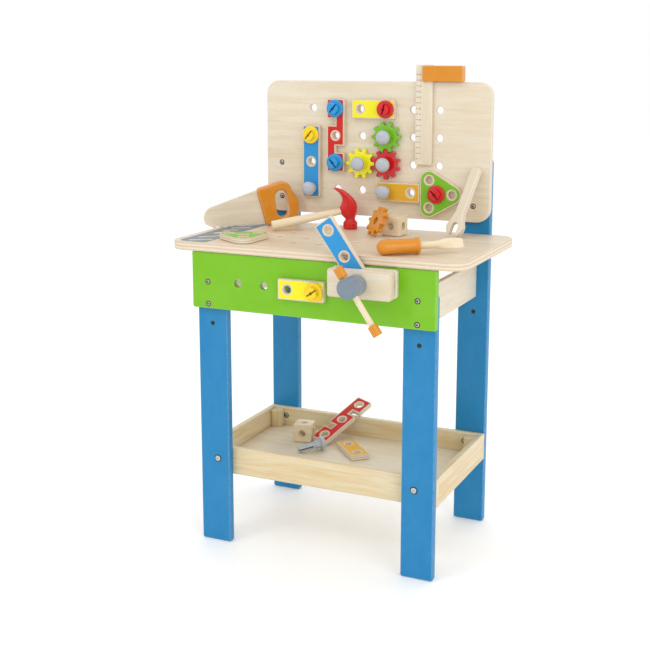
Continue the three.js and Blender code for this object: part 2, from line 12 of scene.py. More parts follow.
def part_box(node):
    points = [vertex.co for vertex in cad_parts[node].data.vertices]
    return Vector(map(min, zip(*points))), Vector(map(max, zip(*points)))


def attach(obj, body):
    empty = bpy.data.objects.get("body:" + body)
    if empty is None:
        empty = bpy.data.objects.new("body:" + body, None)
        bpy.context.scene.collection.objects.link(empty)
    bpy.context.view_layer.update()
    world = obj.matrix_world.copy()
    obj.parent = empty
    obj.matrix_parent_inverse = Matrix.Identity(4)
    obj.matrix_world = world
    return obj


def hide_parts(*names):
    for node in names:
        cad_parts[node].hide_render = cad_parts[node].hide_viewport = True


bl_info = {
    "name": "Toy Workbench",
    "version": (1, 0, 0),
    "blender": (4, 5, 0),
    "location": "View3D > Sidebar > Workbench",
    "description": "Builds a child's wooden workbench with its vise, gears, pegs and tools",
    "category": "Add Mesh",
}

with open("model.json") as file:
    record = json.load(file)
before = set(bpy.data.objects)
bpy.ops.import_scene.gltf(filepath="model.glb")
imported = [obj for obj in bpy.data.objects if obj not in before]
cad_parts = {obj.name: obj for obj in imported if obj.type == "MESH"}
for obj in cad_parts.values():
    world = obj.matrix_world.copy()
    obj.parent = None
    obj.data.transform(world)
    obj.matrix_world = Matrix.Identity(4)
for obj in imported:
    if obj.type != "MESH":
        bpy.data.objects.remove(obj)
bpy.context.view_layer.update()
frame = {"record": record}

# ---- sizes shared by the pieces, in millimetres ------------------------------------------------
MM = 0.001
PITCH = 42.86            # between neighbouring peg holes
HOLE_R = 6.0
REST_GAP = 0.3
ROUND_STEPS = 4          # faces round a rounded edge
SUPPORT = 0.35           # width of the flat strip that keeps a rounded edge's shading off a face
FACE, RIM = 0, 1         # finish numbers: a slab's two faces, and its edges and bare wood
BARE_R = 8.7             # bare ring round a hole in a printed face

SHAFT_R = 5.3
NAIL = {"head": 11.3, "rim": 2.4, "dome": 7.0, "neck_r": 7.2, "neck": 8.5, "shaft": 28.5,
        "slit": 24.0, "slit_half": 1.0}
SCREW = {"flange_r": 14.0, "flange": 4.0, "hex": 8.3, "hex_corner": 1.4, "head": 12.0,
         "slot_half": 1.3, "slot_deep": 3.0, "dimple_r": 2.4, "dimple_deep": 5.0,
         "shaft": 19.0, "long_shaft": 21.0}
# The last two are shares of the tooth pitch: half a tooth at its root, and its flank.
GEAR = {"teeth": 10, "tip": 24.0, "root": 18.2, "thick": 8.5, "half": 0.285, "flank": 0.135}
STRIP_HALF = 15.0        # half the width of a strip, and the reach past its end holes
STRIP_CORNER = 2.0
STRIP_LEAN = 35.3        # degrees of the clamped strip from upright
NOTCHES = [(PITCH / 2, 5.3, -1), (PITCH * 1.5, 5.3, 1)]   # middle, half width and side
JOINT = 0.2              # gap that a leaning strip leaves to the tray's wall
HUB_R = 15.0
BAR_SLOPE = 55.8         # degrees of the vise's bar below level
BAR_R = 4.2
BAR_BORE = 4.6
BAR_AT = 23.5            # from the hub's back to the bar
BAR_ENDS = (-15.7, 58.6)
CAP = {"r": 7.0, "long": 16.0, "socket": 8.7}
DRIVER_R = 10.6
HAMMER_HANDLE = 128.0

# Loose pieces on the worktop: x from its middle, y from the apron's front, yaw in degrees, and,
# where the piece's own origin isn't its underside, the height of that origin.
LOOSE = {
    "saw": (-129.4, 231, 44.2), "hammer": (-30, 217, 216.2), "wrench": (146, 200, -17, 2),
    "screwdriver": (102.7, 4, 36, DRIVER_R + REST_GAP), "orange_gear": (39.2, 161.8, -43, 22.9),
    "bench_cube": (57.5, 186.4, -6), "loose_triangle": (-129.6, 46.8, 177)}
# Loose pieces in the tray, given the same way
IN_TRAY = {
    "tray_cube": (-97, 185.5, 10), "tray_plate": (0.4, 161.4, -47),
    "tray_nail": (-57.4, 142.6, 45, 10.2), "tray_strip": (-51.5, 171)}

# Figure in the wood, as cycles per metre along and across the grain
FIBRES = (38.0, 1500.0)
PORES = (260.0, 2300.0)


def extents(node):
    """The lowest and highest corners of a CAD node, in millimetres."""
    low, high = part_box(node)
    return np.array(low) / MM, np.array(high) / MM


TOP_LOW, TOP_HIGH = extents("worktop")
BOARD_LOW, BOARD_HIGH = extents("pegboard")
MID_X = (TOP_LOW[0] + TOP_HIGH[0]) / 2
APRON_FRONT = extents("front_apron")[0][1]
TRAY_Z = extents("tray_floor")[1][2] + REST_GAP
VISE_X = extents("vise_hub")[0][0] + HUB_R
VISE_Z = extents("vise_hub")[0][2] + HUB_R


# ---- settings ----------------------------------------------------------------------------------
def colour(name, description, red, green, blue):
    """A colour property; the default is given as display values from 0 to 255."""
    shown = np.array([red, green, blue]) / 255.0
    linear = np.where(shown <= 0.04045, shown / 12.92, ((shown + 0.055) / 1.055) ** 2.4)
    return FloatVectorProperty(name=name, description=description, subtype="COLOR", size=3,
                               min=0.0, max=1.0, default=[float(v) for v in linear])


class WorkbenchSizes(PropertyGroup):
    plank_round: FloatProperty(
        name="Plank Rounding", description="Radius on the edges of the painted planks",
        default=0.0022, unit="LENGTH")
    board_round: FloatProperty(
        name="Board Rounding", description="Radius on the edges of the lacquered boards",
        default=0.0014, unit="LENGTH")
    plate_round: FloatProperty(
        name="Plate Rounding", description="Radius on the edges of strips, plates and gears",
        default=0.0008, unit="LENGTH")
    bare_border: FloatProperty(
        name="Bare Border", description="Width of bare wood round a printed face",
        default=0.0011, unit="LENGTH")
    ply: FloatProperty(
        name="Ply", description="Thickness of one layer of the plywood",
        default=0.00165, unit="LENGTH")
    grain_contrast: FloatProperty(
        name="Grain Contrast", description="How strongly the wood's figure shows",
        default=1.25, min=0.0, max=2.0)
    # Strength of the painted highlight along rounded painted edges.
    paint_wear: FloatProperty(
        name="Edge Highlight", description="How much lighter the paint is along its edges",
        default=0.28, min=0.0, max=1.0)
    thread_pitch: FloatProperty(
        name="Thread Pitch", description="Travel of the vise for one turn of its screw",
        default=0.008, unit="LENGTH")


class WorkbenchColours(PropertyGroup):
    blue: colour("Leg Blue", "Paint on the legs", 22, 127, 182)
    green: colour("Green", "Paint on the apron, a gear and the triangles", 118, 186, 18)
    orange: colour("Orange", "Paint on the tool handles and the vise bar's caps", 212, 134, 0)
    red: colour("Red", "Paint on the hammer head, strips and screws", 206, 8, 12)
    sun: colour("Screw Yellow", "Paint on the yellow screws", 244, 210, 0)
    lemon: colour("Lemon", "Paint on the yellow pieces", 244, 236, 0)
    sky: colour("Sky Blue", "Paint on the blue strips and screws", 30, 146, 210)
    amber: colour("Amber", "Paint on the amber plates", 226, 170, 8)
    grey: colour("Peg Grey", "Paint on the pegs", 178, 184, 192)
    slate: colour("Slate", "Paint on the vise hub", 118, 132, 146)
    birch: colour("Birch", "Pale face veneer", 226, 217, 198)
    birch_dark: colour("Birch Figure", "Darker lines in the face veneer", 212, 194, 162)
    beech: colour("Beech", "Turned and solid pieces", 236, 222, 194)
    beech_dark: colour("Beech Figure", "Darker lines in the solid wood", 216, 192, 152)
    pine: colour("Pine", "Tray boards", 223, 210, 177)
    pine_dark: colour("Pine Figure", "Growth rings in the tray boards", 212, 184, 132)
    top: colour("Worktop", "Face veneer of the worktop", 224, 211, 188)
    top_dark: colour("Worktop Figure", "Darker lines in the worktop", 208, 184, 154)
    glue: colour("Inner Ply", "Darker layers on a plywood edge", 196, 160, 114)
    band: colour("Printed Band", "Ink of the band on the worktop", 112, 128, 140)
    ink: colour("Scale Ink", "Ink of the square's scale", 66, 58, 50)
    steel: colour("Steel", "Screws and bolts", 214, 214, 208)
    floor: colour("Floor", "Studio floor", 252, 252, 252)


def sizes():
    return bpy.context.scene.workbench_sizes


def colours():
    return bpy.context.scene.workbench_colours


# ---- outlines ----------------------------------------------------------------------------------
def arc(x, y, r, start, end, count=8):
    """Points at centre + r (cos a, sin a), for a from start to end in degrees."""
    a = np.radians(np.linspace(start, end, count + 1))
    return np.column_stack([x + r * np.cos(a), y + r * np.sin(a)])


def circle(x, y, r=HOLE_R, count=40):
    """A whole turn of arc, without its last point."""
    return arc(x, y, r, 0, 360 * (count - 1) / count, count - 1)


def rounded_box(x0, y0, x1, y1, radii=3.0, count=6):
    """A rectangle with a quarter circle at each corner, from the low left corner round."""
    a, b, c, d = np.broadcast_to(radii, 4)
    return np.vstack([
        arc(x0 + a, y0 + a, a, 180, 270, count), arc(x1 - b, y0 + b, b, 270, 360, count),
        arc(x1 - c, y1 - c, c, 0, 90, count), arc(x0 + d, y1 - d, d, 90, 180, count)])


def capsule(x0, y0, x1, y1, r, count=8):
    """A slot: half circles of radius r round its two ends, turned along the line between them."""
    slope = math.degrees(math.atan2(y1 - y0, x1 - x0))
    return np.vstack([arc(x0, y0, r, slope + 90, slope + 270, count),
                      arc(x1, y1, r, slope - 90, slope + 90, count)])


def inset(loop, distance):
    """Each corner moves along its mitre, so that both its sides move left by the distance."""
    ahead = np.roll(loop, -1, 0) - loop
    ahead = ahead / np.linalg.norm(ahead, axis=1, keepdims=True)
    left = np.column_stack([-ahead[:, 1], ahead[:, 0]])
    before = np.roll(left, 1, 0)
    mitre = (left + before) / (1 + (left * before).sum(1, keepdims=True))
    return loop + distance * mitre


def soften(path, radius, count=4):
    """Each inner corner of an open path becomes a quadratic curve between two points that lie
    the radius away from it, or 0.45 of a shorter side."""
    path = np.asarray(path, float)
    corner = path[1:-1]

    def pull(end):
        way = end - corner
        length = np.linalg.norm(way, axis=1, keepdims=True)
        return corner + way / length * np.minimum(radius, length * 0.45)

    a, b = pull(path[:-2]), pull(path[2:])
    t = np.linspace(0, 1, count + 1)[None, :, None]
    bend = (1 - t) ** 2 * a[:, None] + 2 * t * (1 - t) * corner[:, None] + t ** 2 * b[:, None]
    return np.vstack([path[:1], bend.reshape(-1, 2), path[-1:]])


def smooth_path(points, count):
    """A Catmull-Rom curve: between two points it is the cubic whose slope at each of them is
    half the step between its neighbours."""
    p = np.asarray(points, float)
    p = np.vstack([2 * p[0] - p[1], p, 2 * p[-1] - p[-2]])
    t = np.linspace(0, 1, count, endpoint=False)[None, :, None]
    a, b, c, d = (p[i:len(p) - 3 + i][:, None] for i in range(4))
    curve = 0.5 * (2 * b + (c - a) * t + (2 * a - 5 * b + 4 * c - d) * t ** 2
                   + (3 * b - a - 3 * c + d) * t ** 3)
    return np.vstack([curve.reshape(-1, p.shape[1]), p[-2:-1]])


# ---- forms: points, faces and finishes in a piece's own frame ------------------------------------
class Form:
    """Points in millimetres, faces, a finish number for each face, and how much each point is on
    a rounded edge. Grain runs along x of the grain points, and their z is the depth."""

    def __init__(self, points, faces, finish=0, edge=0.0):
        self.points = np.asarray(points, float).reshape(-1, 3)
        self.faces = [tuple(f) for f in faces]
        self.finish = np.broadcast_to(finish, len(self.faces)).astype(np.int32)
        self.edge = np.broadcast_to(edge, len(self.points)).astype(np.float32)
        self.grain = self.points.copy()

    def along(self, order):
        """Turns the grain: order says which of x, y and z runs along the grain, across it and
        through the thickness."""
        self.grain = self.grain[:, list(order)]
        return self

    def moved(self, matrix):
        rows = np.array(matrix)
        self.points = self.points @ rows[:3, :3].T + rows[:3, 3]
        return self

    def __add__(self, other):
        start = len(self.points)
        both = Form(np.vstack([self.points, other.points]),
                    self.faces + [tuple(i + start for i in f) for f in other.faces],
                    np.concatenate([self.finish, other.finish]),
                    np.concatenate([self.edge, other.edge]))
        both.grain = np.vstack([self.grain, other.grain])
        return both


def skin(rows, count):
    """Quads between neighbouring rows of a grid whose rows close on themselves."""
    i = np.arange(count)
    j = (i + 1) % count
    start = np.arange(rows - 1)[:, None] * count
    return np.stack([start + i, start + j, start + count + j, start + count + i], -1)


def slab(outer, holes=(), thick=8.0, edge=0.8, border=0.0, ring=0.0):
    """A board: its outline and holes, carried up a profile whose two ends are quarter circles of
    radius edge, and closed by a flat face at each end. border and ring are the widths of bare
    wood beside the outline and the holes."""
    turn = np.radians(np.linspace(0, 90, ROUND_STEPS + 1))
    rise, reach = edge * (1 - np.cos(turn)), edge * (1 - np.sin(turn))
    flat = min(SUPPORT, (thick - 2 * edge) / 4)
    height = np.concatenate([[0], rise, [edge + flat, thick - edge - flat], thick - rise[::-1], [thick]])
    # Share of painted highlight for each row: greatest halfway round each rounded edge.
    edge_light_share = np.concatenate([[0], np.sin(2 * turn), [0, 0], np.sin(2 * turn), [0]])
    points, faces, finish, painted_edge_light, low, high = [], [], [], [], [], []
    count = 0
    for loop, bare in [(outer, border)] + [(hole[::-1], ring) for hole in holes]:
        margin = edge + max(bare, SUPPORT)
        inward = np.concatenate([[margin], reach, [0, 0], reach[::-1], [margin]])
        rows = np.stack([np.column_stack([inset(loop, d), np.full(len(loop), z)])
                         for d, z in zip(inward, height)])
        quads = skin(len(height), len(loop)) + count
        tags = np.full(quads.shape[:2], RIM)
        if not bare:
            tags[[0, -1]] = FACE
        points.append(rows.reshape(-1, 3))
        faces.append(quads.reshape(-1, 4))
        finish.append(tags.ravel())
        painted_edge_light.append(np.repeat(edge_light_share, len(loop)))
        low.append(np.arange(len(loop)) + count)
        high.append(np.arange(len(loop)) + count + len(loop) * (len(height) - 1))
        count += rows.shape[0] * rows.shape[1]
    points = np.vstack(points)
    flat_loops = [[Vector((x, y, 0)) for x, y, _ in points[row]] for row in low]
    triangles = np.array(tessellate_polygon(flat_loops))
    a, b, c = (points[np.concatenate(low)][triangles[:, k], :2] for k in range(3))
    area = (b[:, 0] - a[:, 0]) * (c[:, 1] - a[:, 1]) - (b[:, 1] - a[:, 1]) * (c[:, 0] - a[:, 0])
    triangles[area < 0] = triangles[area < 0][:, ::-1]
    triangles = triangles[np.abs(area) > 1e-9]
    caps = [np.concatenate(low)[triangles[:, ::-1]], np.concatenate(high)[triangles]]
    every = [f for part in faces + caps for f in part.tolist()]
    return Form(points, every, np.concatenate(finish + [np.full(len(c), FACE) for c in caps]),
                np.concatenate(painted_edge_light))


def loft(rings, finish=0, edge=0.0):
    """A skin over a stack of closed rings, with a point in the middle of each end ring."""
    rings = np.asarray(rings, float)
    count, size = rings.shape[:2]
    points = np.vstack([rings.reshape(-1, 3), rings[0].mean(0), rings[-1].mean(0)])
    i = np.arange(size)
    j = (i + 1) % size
    first, last = count * size, count * size + 1
    start = (count - 1) * size
    faces = skin(count, size).reshape(-1, 4).tolist()
    faces += np.column_stack([np.full(size, first), j, i]).tolist()
    faces += np.column_stack([np.full(size, last), start + i, start + j]).tolist()
    painted_edge_light = np.append(np.repeat(np.broadcast_to(edge, count), size), [0, 0])
    return Form(points, faces, finish, painted_edge_light)


def lathe(profile, count=48, finish=0):
    """A profile of radius and height turned round +Z: (r cos a, r sin a, z).
    A narrow ring of each flat end keeps its shading off the rounded edge."""
    profile = np.asarray(profile, float)
    profile = profile[profile[:, 0] > 1e-6]
    inner = profile[[0, -1]] * [0, 1] + np.maximum(profile[[0, -1], :1] - SUPPORT, 0.02) * [1, 0]
    profile = np.vstack([inner[:1], profile, inner[1:]])
    a = np.linspace(0, 2 * np.pi, count, endpoint=False)
    r = np.repeat(profile[:, :1], count, 1)
    rings = np.stack([r * np.cos(a), r * np.sin(a), np.repeat(profile[:, 1:], count, 1)], -1)
    return loft(rings, finish).along((2, 0, 1))


def rough_object(form):
    """A plain object for a boolean to work on."""
    mesh = bpy.data.meshes.new("rough")
    mesh.from_pydata(form.points.tolist(), [], form.faces)
    made = bpy.data.objects.new("rough", mesh)
    bpy.context.collection.objects.link(made)
    return made


def carve(form, *tools, how="DIFFERENCE"):
    """The form with each tool cut away from it or joined to it, by exact booleans."""
    body, others = rough_object(form), [rough_object(tool) for tool in tools]
    for other in others:
        step = body.modifiers.new("carve", "BOOLEAN")
        step.operation, step.solver, step.object = how, "EXACT", other
    bpy.context.view_layer.update()
    shaped = body.evaluated_get(bpy.context.evaluated_depsgraph_get())
    mesh = shaped.to_mesh()
    points = np.empty(len(mesh.vertices) * 3)
    mesh.vertices.foreach_get("co", points)
    result = Form(points, [tuple(p.vertices) for p in mesh.polygons])
    shaped.to_mesh_clear()
    for used in [body, *others]:
        data = used.data
        bpy.data.objects.remove(used)
        bpy.data.meshes.remove(data)
    return result


def rod(r, low, high, count=40):
    """A cylinder on z, for boring with."""
    return lathe([[r, low], [r, high]], count)


def bar(x, y, low, high):
    """A square-cornered block of half widths x and y, for cutting with."""
    corners = np.array([[-x, -y], [x, -y], [x, y], [-x, y]])
    return loft([np.column_stack([corners, np.full(4, z)]) for z in (low, high)])


def squared(wave, power):
    """sign(w) |w| ^ power of a cosine or sine: a section that is round at power 1 and gets
    boxier below it."""
    return np.sign(wave) * np.abs(wave) ** power


# ---- places --------------------------------------------------------------------------------------
def turn(degrees, axis):
    return Matrix.Rotation(math.radians(degrees), 4, axis)


def stand(x=0.0, y=0.0, z=0.0, spin=0.0):
    """Stands a form up: its x runs right, its y up, and its z to the front."""
    return Matrix.Translation((x, y, z)) @ turn(90, "X") @ turn(spin, "Z")


def lie(x=0.0, y=0.0, z=0.0, yaw=0.0):
    """Lays a form down as it is, turned by yaw about the upright."""
    return Matrix.Translation((x, y, z)) @ turn(yaw, "Z")


SIDEWAYS = Matrix(((0, 0, 1, 0), (1, 0, 0, 0), (0, 1, 0, 0), (0, 0, 0, 1)))


def on_top(x, y, yaw=0.0, rise=REST_GAP):
    """A place on the worktop; x is from its middle, and y from the apron's front."""
    return lie(MID_X + x, APRON_FRONT + y, TOP_HIGH[2] + rise, yaw)


def in_tray(x, y, yaw=0.0, rise=0.0):
    """A place on the tray's floor, with x and y as on the worktop."""
    return lie(MID_X + x, APRON_FRONT + y, TRAY_Z + rise, yaw)


def board_hole(column, row):
    """The middle of a peg hole, counted from the board's left column and top row."""
    first_drop = 43.0
    middle = (BOARD_LOW[0] + BOARD_HIGH[0]) / 2
    return middle + (column - 2.5) * PITCH, BOARD_HIGH[2] - first_drop - row * PITCH


def body_of(node):
    return next(name for name, nodes in frame["record"]["behaviour"]["bodies"].items() if node in nodes)


def slot_of(node):
    return next(s["material_slot"] for s in frame["record"]["subparts"] if s["node"] == node)


def piece(name, form, finishes, body, matrix=None, nodes=(), slot=None, sharp=34):
    """Makes a form into an object in the row frame, in metres, and hands it to its body. Edges
    that turn by more than sharp degrees stay sharp."""
    if matrix is not None:
        form.moved(matrix)
    mesh = bpy.data.meshes.new(name)
    mesh.from_pydata((form.points * MM).tolist(), [], form.faces)
    for finish in finishes:
        mesh.materials.append(finish)
    mesh.polygons.foreach_set("material_index", np.minimum(form.finish, len(finishes) - 1))
    start = sum(map(ord, name)) % 89 * 31.0
    grain = (form.grain + [start, start / 3, 0]) * MM
    mesh.attributes.new("grain", "FLOAT_VECTOR", "POINT").data.foreach_set(
        "vector", grain.astype(np.float32).ravel())
    mesh.attributes.new("edge", "FLOAT", "POINT").data.foreach_set("value", form.edge)
    mesh.shade_smooth()
    mesh.set_sharp_from_angle(angle=math.radians(sharp))
    mesh.update()
    made = bpy.data.objects.new(name, mesh)
    bpy.context.collection.objects.link(made)
    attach(made, body)
    if nodes:
        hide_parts(*nodes)
    return made


def stand_in(node, form, finishes, matrix=None, sharp=34):
    """The finished piece for one CAD node."""
    return piece("fine_" + node, form, finishes, body_of(node), matrix, [node], slot_of(node), sharp)


# ---- materials -----------------------------------------------------------------------------------
class Wire:
    """A socket that can stand in a sum: each sign adds a Math node."""

    def __init__(self, shop, socket):
        self.shop, self.socket = shop, socket

    def maths(self, operation, a, b):
        return self.shop.node("ShaderNodeMath", {"operation": operation}, {0: a, 1: b})

    def __add__(self, other):
        return self.maths("ADD", self, other)

    def __sub__(self, other):
        return self.maths("SUBTRACT", self, other)

    def __rsub__(self, other):
        return self.maths("SUBTRACT", other, self)

    def __mul__(self, other):
        return self.maths("MULTIPLY", self, other)

    __radd__, __rmul__ = __add__, __mul__


class Shop:
    """One material's nodes, with its Principled shader."""

    def __init__(self, name):
        self.material = bpy.data.materials.new(name)
        self.material.use_nodes = True
        self.nodes = self.material.node_tree.nodes
        self.links = self.material.node_tree.links
        self.shader = self.nodes["Principled BSDF"]

    def plug(self, socket, value):
        if isinstance(value, Wire):
            self.links.new(value.socket, socket)
        elif hasattr(socket.default_value, "__len__") and len(socket.default_value) == 4:
            socket.default_value = (*value, 1.0) if len(value) == 3 else value
        else:
            socket.default_value = value

    def node(self, kind, settings=None, sockets=None, out=0):
        made = self.nodes.new(kind)
        for key, value in (settings or {}).items():
            if key == "stops":
                low, high = made.color_ramp.elements
                (low.position, low.color), (high.position, high.color) = value
            else:
                setattr(made, key, value)
        for key, value in (sockets or {}).items():
            self.plug(made.inputs[key], value)
        return Wire(self, made.outputs[out])

    def paint(self, **values):
        for key, value in values.items():
            self.plug(self.shader.inputs[key.replace("_", " ")], value)
        return self.material

    def grain(self, along, across, through=None):
        """The piece's own grain points, scaled along and across the grain."""
        at = self.node("ShaderNodeAttribute", {"attribute_name": "grain"}, None, "Vector")
        return self.node("ShaderNodeVectorMath", {"operation": "MULTIPLY"},
                         {0: at, 1: (along, across, through or across)}, "Vector")

    def noise(self, vector, scale=1.0, detail=3.0, rough=0.55, bend=0.0):
        return self.node("ShaderNodeTexNoise", None, {
            "Vector": vector, "Scale": scale, "Detail": detail, "Roughness": rough, "Distortion": bend})

    def step(self, value, low, high):
        """0 below low and 1 above high, with a smooth rise between."""
        return self.node("ShaderNodeMapRange", {"interpolation_type": "SMOOTHSTEP"}, {
            "Value": value, "From Min": low, "From Max": high})

    def blend(self, share, a, b):
        return self.node("ShaderNodeMix", {"data_type": "RGBA"}, {0: share, 6: a, 7: b}, 2)

    def bump(self, height, distance, strength=1.0):
        return self.node("ShaderNodeBump", None, {
            "Height": height, "Distance": distance, "Strength": strength}, "Normal")

    def edge(self):
        return self.node("ShaderNodeAttribute", {"attribute_name": "edge"}, None, "Fac")


FINISHES = {}


def finish(name, build):
    """Each finish is made once and shared."""
    if name not in FINISHES:
        FINISHES[name] = build(Shop(name))
    return FINISHES[name]


def shade(value, share):
    """A colour darkened or lightened by a share."""
    value = np.array(value)
    return tuple(value * (1 + share)) if share < 0 else tuple(value + (1 - value) * share)


def wood_colour(shop, light, dark, rings=0.5):
    """Broad figure, fine fibres and short pores, all drawn out along the grain."""
    contrast = sizes().grain_contrast
    figure = shop.noise(shop.grain(5.0, 62.0), 1.0, 4.0, 0.55, 1.4)
    fibre = shop.noise(shop.grain(*FIBRES), 1.0, 3.0, 0.6)
    cloud = shop.noise(shop.grain(7.0, 12.0), 1.0, 2.0, 0.5)
    pores = shop.step(shop.noise(shop.grain(*PORES), 1.0, 1.0, 0.4), 0.66, 0.76)
    share = (shop.step(figure, 0.34, 0.78) * rings + shop.step(fibre, 0.3, 0.8) * 0.4
             + (cloud - 0.5) * 0.6 + pores * 0.30) * contrast
    return shop.blend(share, light, dark), fibre, pores


def wood(name, light, dark, rings=0.5, rough=0.42):
    """Clear satin lacquer on wood; the fibres stand up a little through it, and a painted highlight lightens
    its rounded edges.
    """
    def build(shop):
        base, fibre, pores = wood_colour(shop, tuple(light), tuple(dark), rings)
        # Rounded edges lightened: a painted highlight.
        painted_edge_light = shop.blend(shop.edge() * 0.35, base, shade(light, 0.35))
        height = fibre - pores * 1.2
        return shop.paint(Base_Color=painted_edge_light, Roughness=fibre * 0.16 + (rough - 0.08),
                          Normal=shop.bump(height, 0.00009, 0.55), Coat_Weight=0.12,
                          Coat_Roughness=0.28)
    return finish(name, build)


def plywood_edge(name, light, dark, ply=None):
    """Layers of veneer seen from the side: every other layer shows darker end grain."""
    layer = ply or sizes().ply

    def build(shop):
        at = shop.node("ShaderNodeAttribute", {"attribute_name": "grain"}, None, "Vector")
        depth = shop.node("ShaderNodeSeparateXYZ", None, {0: at}, "Z")
        wander = shop.noise(shop.grain(26.0, 26.0, 0.01), 1.0, 2.0)
        wave = shop.node("ShaderNodeMath", {"operation": "SINE"},
                         {0: (depth + wander * (layer * 0.22)) * (math.pi / layer)})
        fibre = shop.noise(shop.grain(420.0, 420.0, 1900.0), 1.0, 3.0, 0.6)
        inner = shop.step(wave, -0.25, 0.3)
        share = inner * 0.42 + shop.step(fibre, 0.35, 0.8) * 0.34
        base = shop.blend(share, shade(light, 0.10), tuple(dark))
        return shop.paint(Base_Color=base, Roughness=fibre * 0.15 + 0.45,
                          Normal=shop.bump(fibre + inner * 0.5, 0.00008, 0.5))
    return finish(name, build)


def paint_coat(name, tint, rough=0.34, coat=0.25, telegraph=0.25):
    """Satin paint: faint mottling, wood fibres that telegraph through, and a painted highlight, in patches,
    along its rounded edges.
    """
    tint = tuple(tint)

    def build(shop):
        mottle = shop.noise(shop.grain(26.0, 40.0), 1.0, 4.0, 0.6)
        fibre = shop.noise(shop.grain(30.0, 900.0), 1.0, 3.0, 0.6)
        peel = shop.noise(shop.grain(520.0, 520.0), 1.0, 2.0, 0.5)
        highlight_patches = shop.noise(shop.grain(210.0, 210.0), 1.0, 4.0, 0.7)
        base = shop.blend(shop.step(mottle, 0.2, 0.8), shade(tint, -0.04), shade(tint, 0.015))
        # Rounded edges lightened in patches: a painted highlight.
        painted_edge_light = shop.edge() * shop.step(highlight_patches, 0.25, 0.7) * sizes().paint_wear
        base = shop.blend(painted_edge_light, base, shade(tint, 0.42))
        height = peel * 0.6 + fibre * telegraph
        return shop.paint(Base_Color=base, Roughness=mottle * 0.12 + (rough - 0.06),
                          Normal=shop.bump(height, 0.00007, 0.5), Coat_Weight=coat,
                          Coat_Roughness=0.06, Specular_IOR_Level=0.25)
    return finish(name, build)


def print_coat(name, tint):
    """A thin printed film on veneer, with the fibres and pores showing through it."""
    tint = tuple(tint)

    def build(shop):
        fibre = shop.noise(shop.grain(*FIBRES), 1.0, 3.0, 0.6)
        cloud = shop.noise(shop.grain(16.0, 30.0), 1.0, 3.0, 0.5)
        pores = shop.step(shop.noise(shop.grain(*PORES), 1.0, 1.0, 0.4), 0.68, 0.78)
        base = shop.blend(fibre * 0.35 + cloud * 0.35, shade(tint, -0.09), shade(tint, 0.04))
        base = shop.blend(pores * 0.18, base, shade(tint, -0.35))
        return shop.paint(Base_Color=base, Roughness=fibre * 0.14 + 0.34,
                          Normal=shop.bump(fibre - pores, 0.00006, 0.5), Coat_Weight=0.1,
                          Coat_Roughness=0.22, Specular_IOR_Level=0.25)
    return finish(name, build)


def steel_finish(name, dark=False):
    """Zinc-plated steel with fine turning marks, or, when dark, a near-black finish that paints the shade in
    the gap round a screw.
    """
    tint = tuple(colours().steel)

    def build(shop):
        marks = shop.noise(shop.grain(900.0, 900.0), 1.0, 3.0, 0.6)
        if dark:
            base = shop.blend(marks, (0.012, 0.012, 0.012), (0.035, 0.032, 0.03))
            return shop.paint(Base_Color=base, Roughness=marks * 0.2 + 0.6)
        base = shop.blend(marks, shade(tint, -0.4), tint)
        return shop.paint(Base_Color=base, Metallic=1.0, Roughness=marks * 0.25 + 0.2,
                          Normal=shop.bump(marks, 0.00003, 0.4))
    return finish(name, build)


def ink_finish(name, tint):
    def build(shop):
        speckle = shop.noise(shop.grain(900.0, 900.0), 1.0, 2.0)
        fibre = shop.noise(shop.grain(*FIBRES), 1.0, 3.0, 0.6)
        base = shop.blend(speckle * 0.3 + fibre * 0.4, shade(tint, -0.12), shade(tint, 0.14))
        return shop.paint(Base_Color=base, Roughness=speckle * 0.15 + 0.42)
    return finish(name, build)


def floor_finish(name, tint):
    def build(shop):
        at = shop.node("ShaderNodeTexCoord", None, None, "Object")
        cloud = shop.noise(at, 3.0, 2.0)
        base = shop.blend(cloud, shade(tint, -0.02), tuple(tint))
        return shop.paint(Base_Color=base, Roughness=0.55, Emission_Color=(1.0, 1.0, 1.0),
                          Emission_Strength=0.1)
    return finish(name, build)


def birch_faces():
    c = colours()
    return [wood("birch veneer", c.birch, c.birch_dark, 0.5),
            plywood_edge("birch plywood edge", c.birch, c.glue)]


def top_faces():
    c = colours()
    return [wood("worktop veneer", c.top, c.top_dark, 0.55),
            plywood_edge("worktop plywood edge", c.top, c.glue, 0.0026)]


def pine_wood():
    c = colours()
    return [wood("pine boards", c.pine, c.pine_dark, 0.8)]


def beech_wood():
    c = colours()
    return [wood("turned beech", c.beech, c.beech_dark, 0.38)]


def gloss(key):
    return [paint_coat(key + " paint", getattr(colours(), key), 0.26, 0.45, 0.1)]


def gloss_with_shaded_cuts(key):
    """Gloss paint, and a darker copy of it that paints the shade on the walls and floor of a cut."""
    deep = shade(getattr(colours(), key), -0.5)
    return gloss(key) + [paint_coat(key + " paint in a cut", deep, 0.4, 0.1, 0.1)]


def satin(key):
    return [paint_coat(key + " plank paint", getattr(colours(), key), 0.42, 0.12, 0.5)]


def printed(key):
    return [print_coat(key + " print", getattr(colours(), key)), birch_faces()[1]]


# ---- boards ----------------------------------------------------------------------------------------
def standing_board(node, finishes, holes=(), radii=2.5, edge=None, order=(0, 1, 2)):
    """A board that faces the front, with its outline and holes in x and z of the row frame."""
    low, high = extents(node)
    outline = rounded_box(low[0], low[2], high[0], high[2], radii)
    edge = (edge or sizes().board_round) / MM
    form = slab(outline, holes, high[1] - low[1], edge).along(order)
    return stand_in(node, form, finishes, stand(0, high[1], 0))


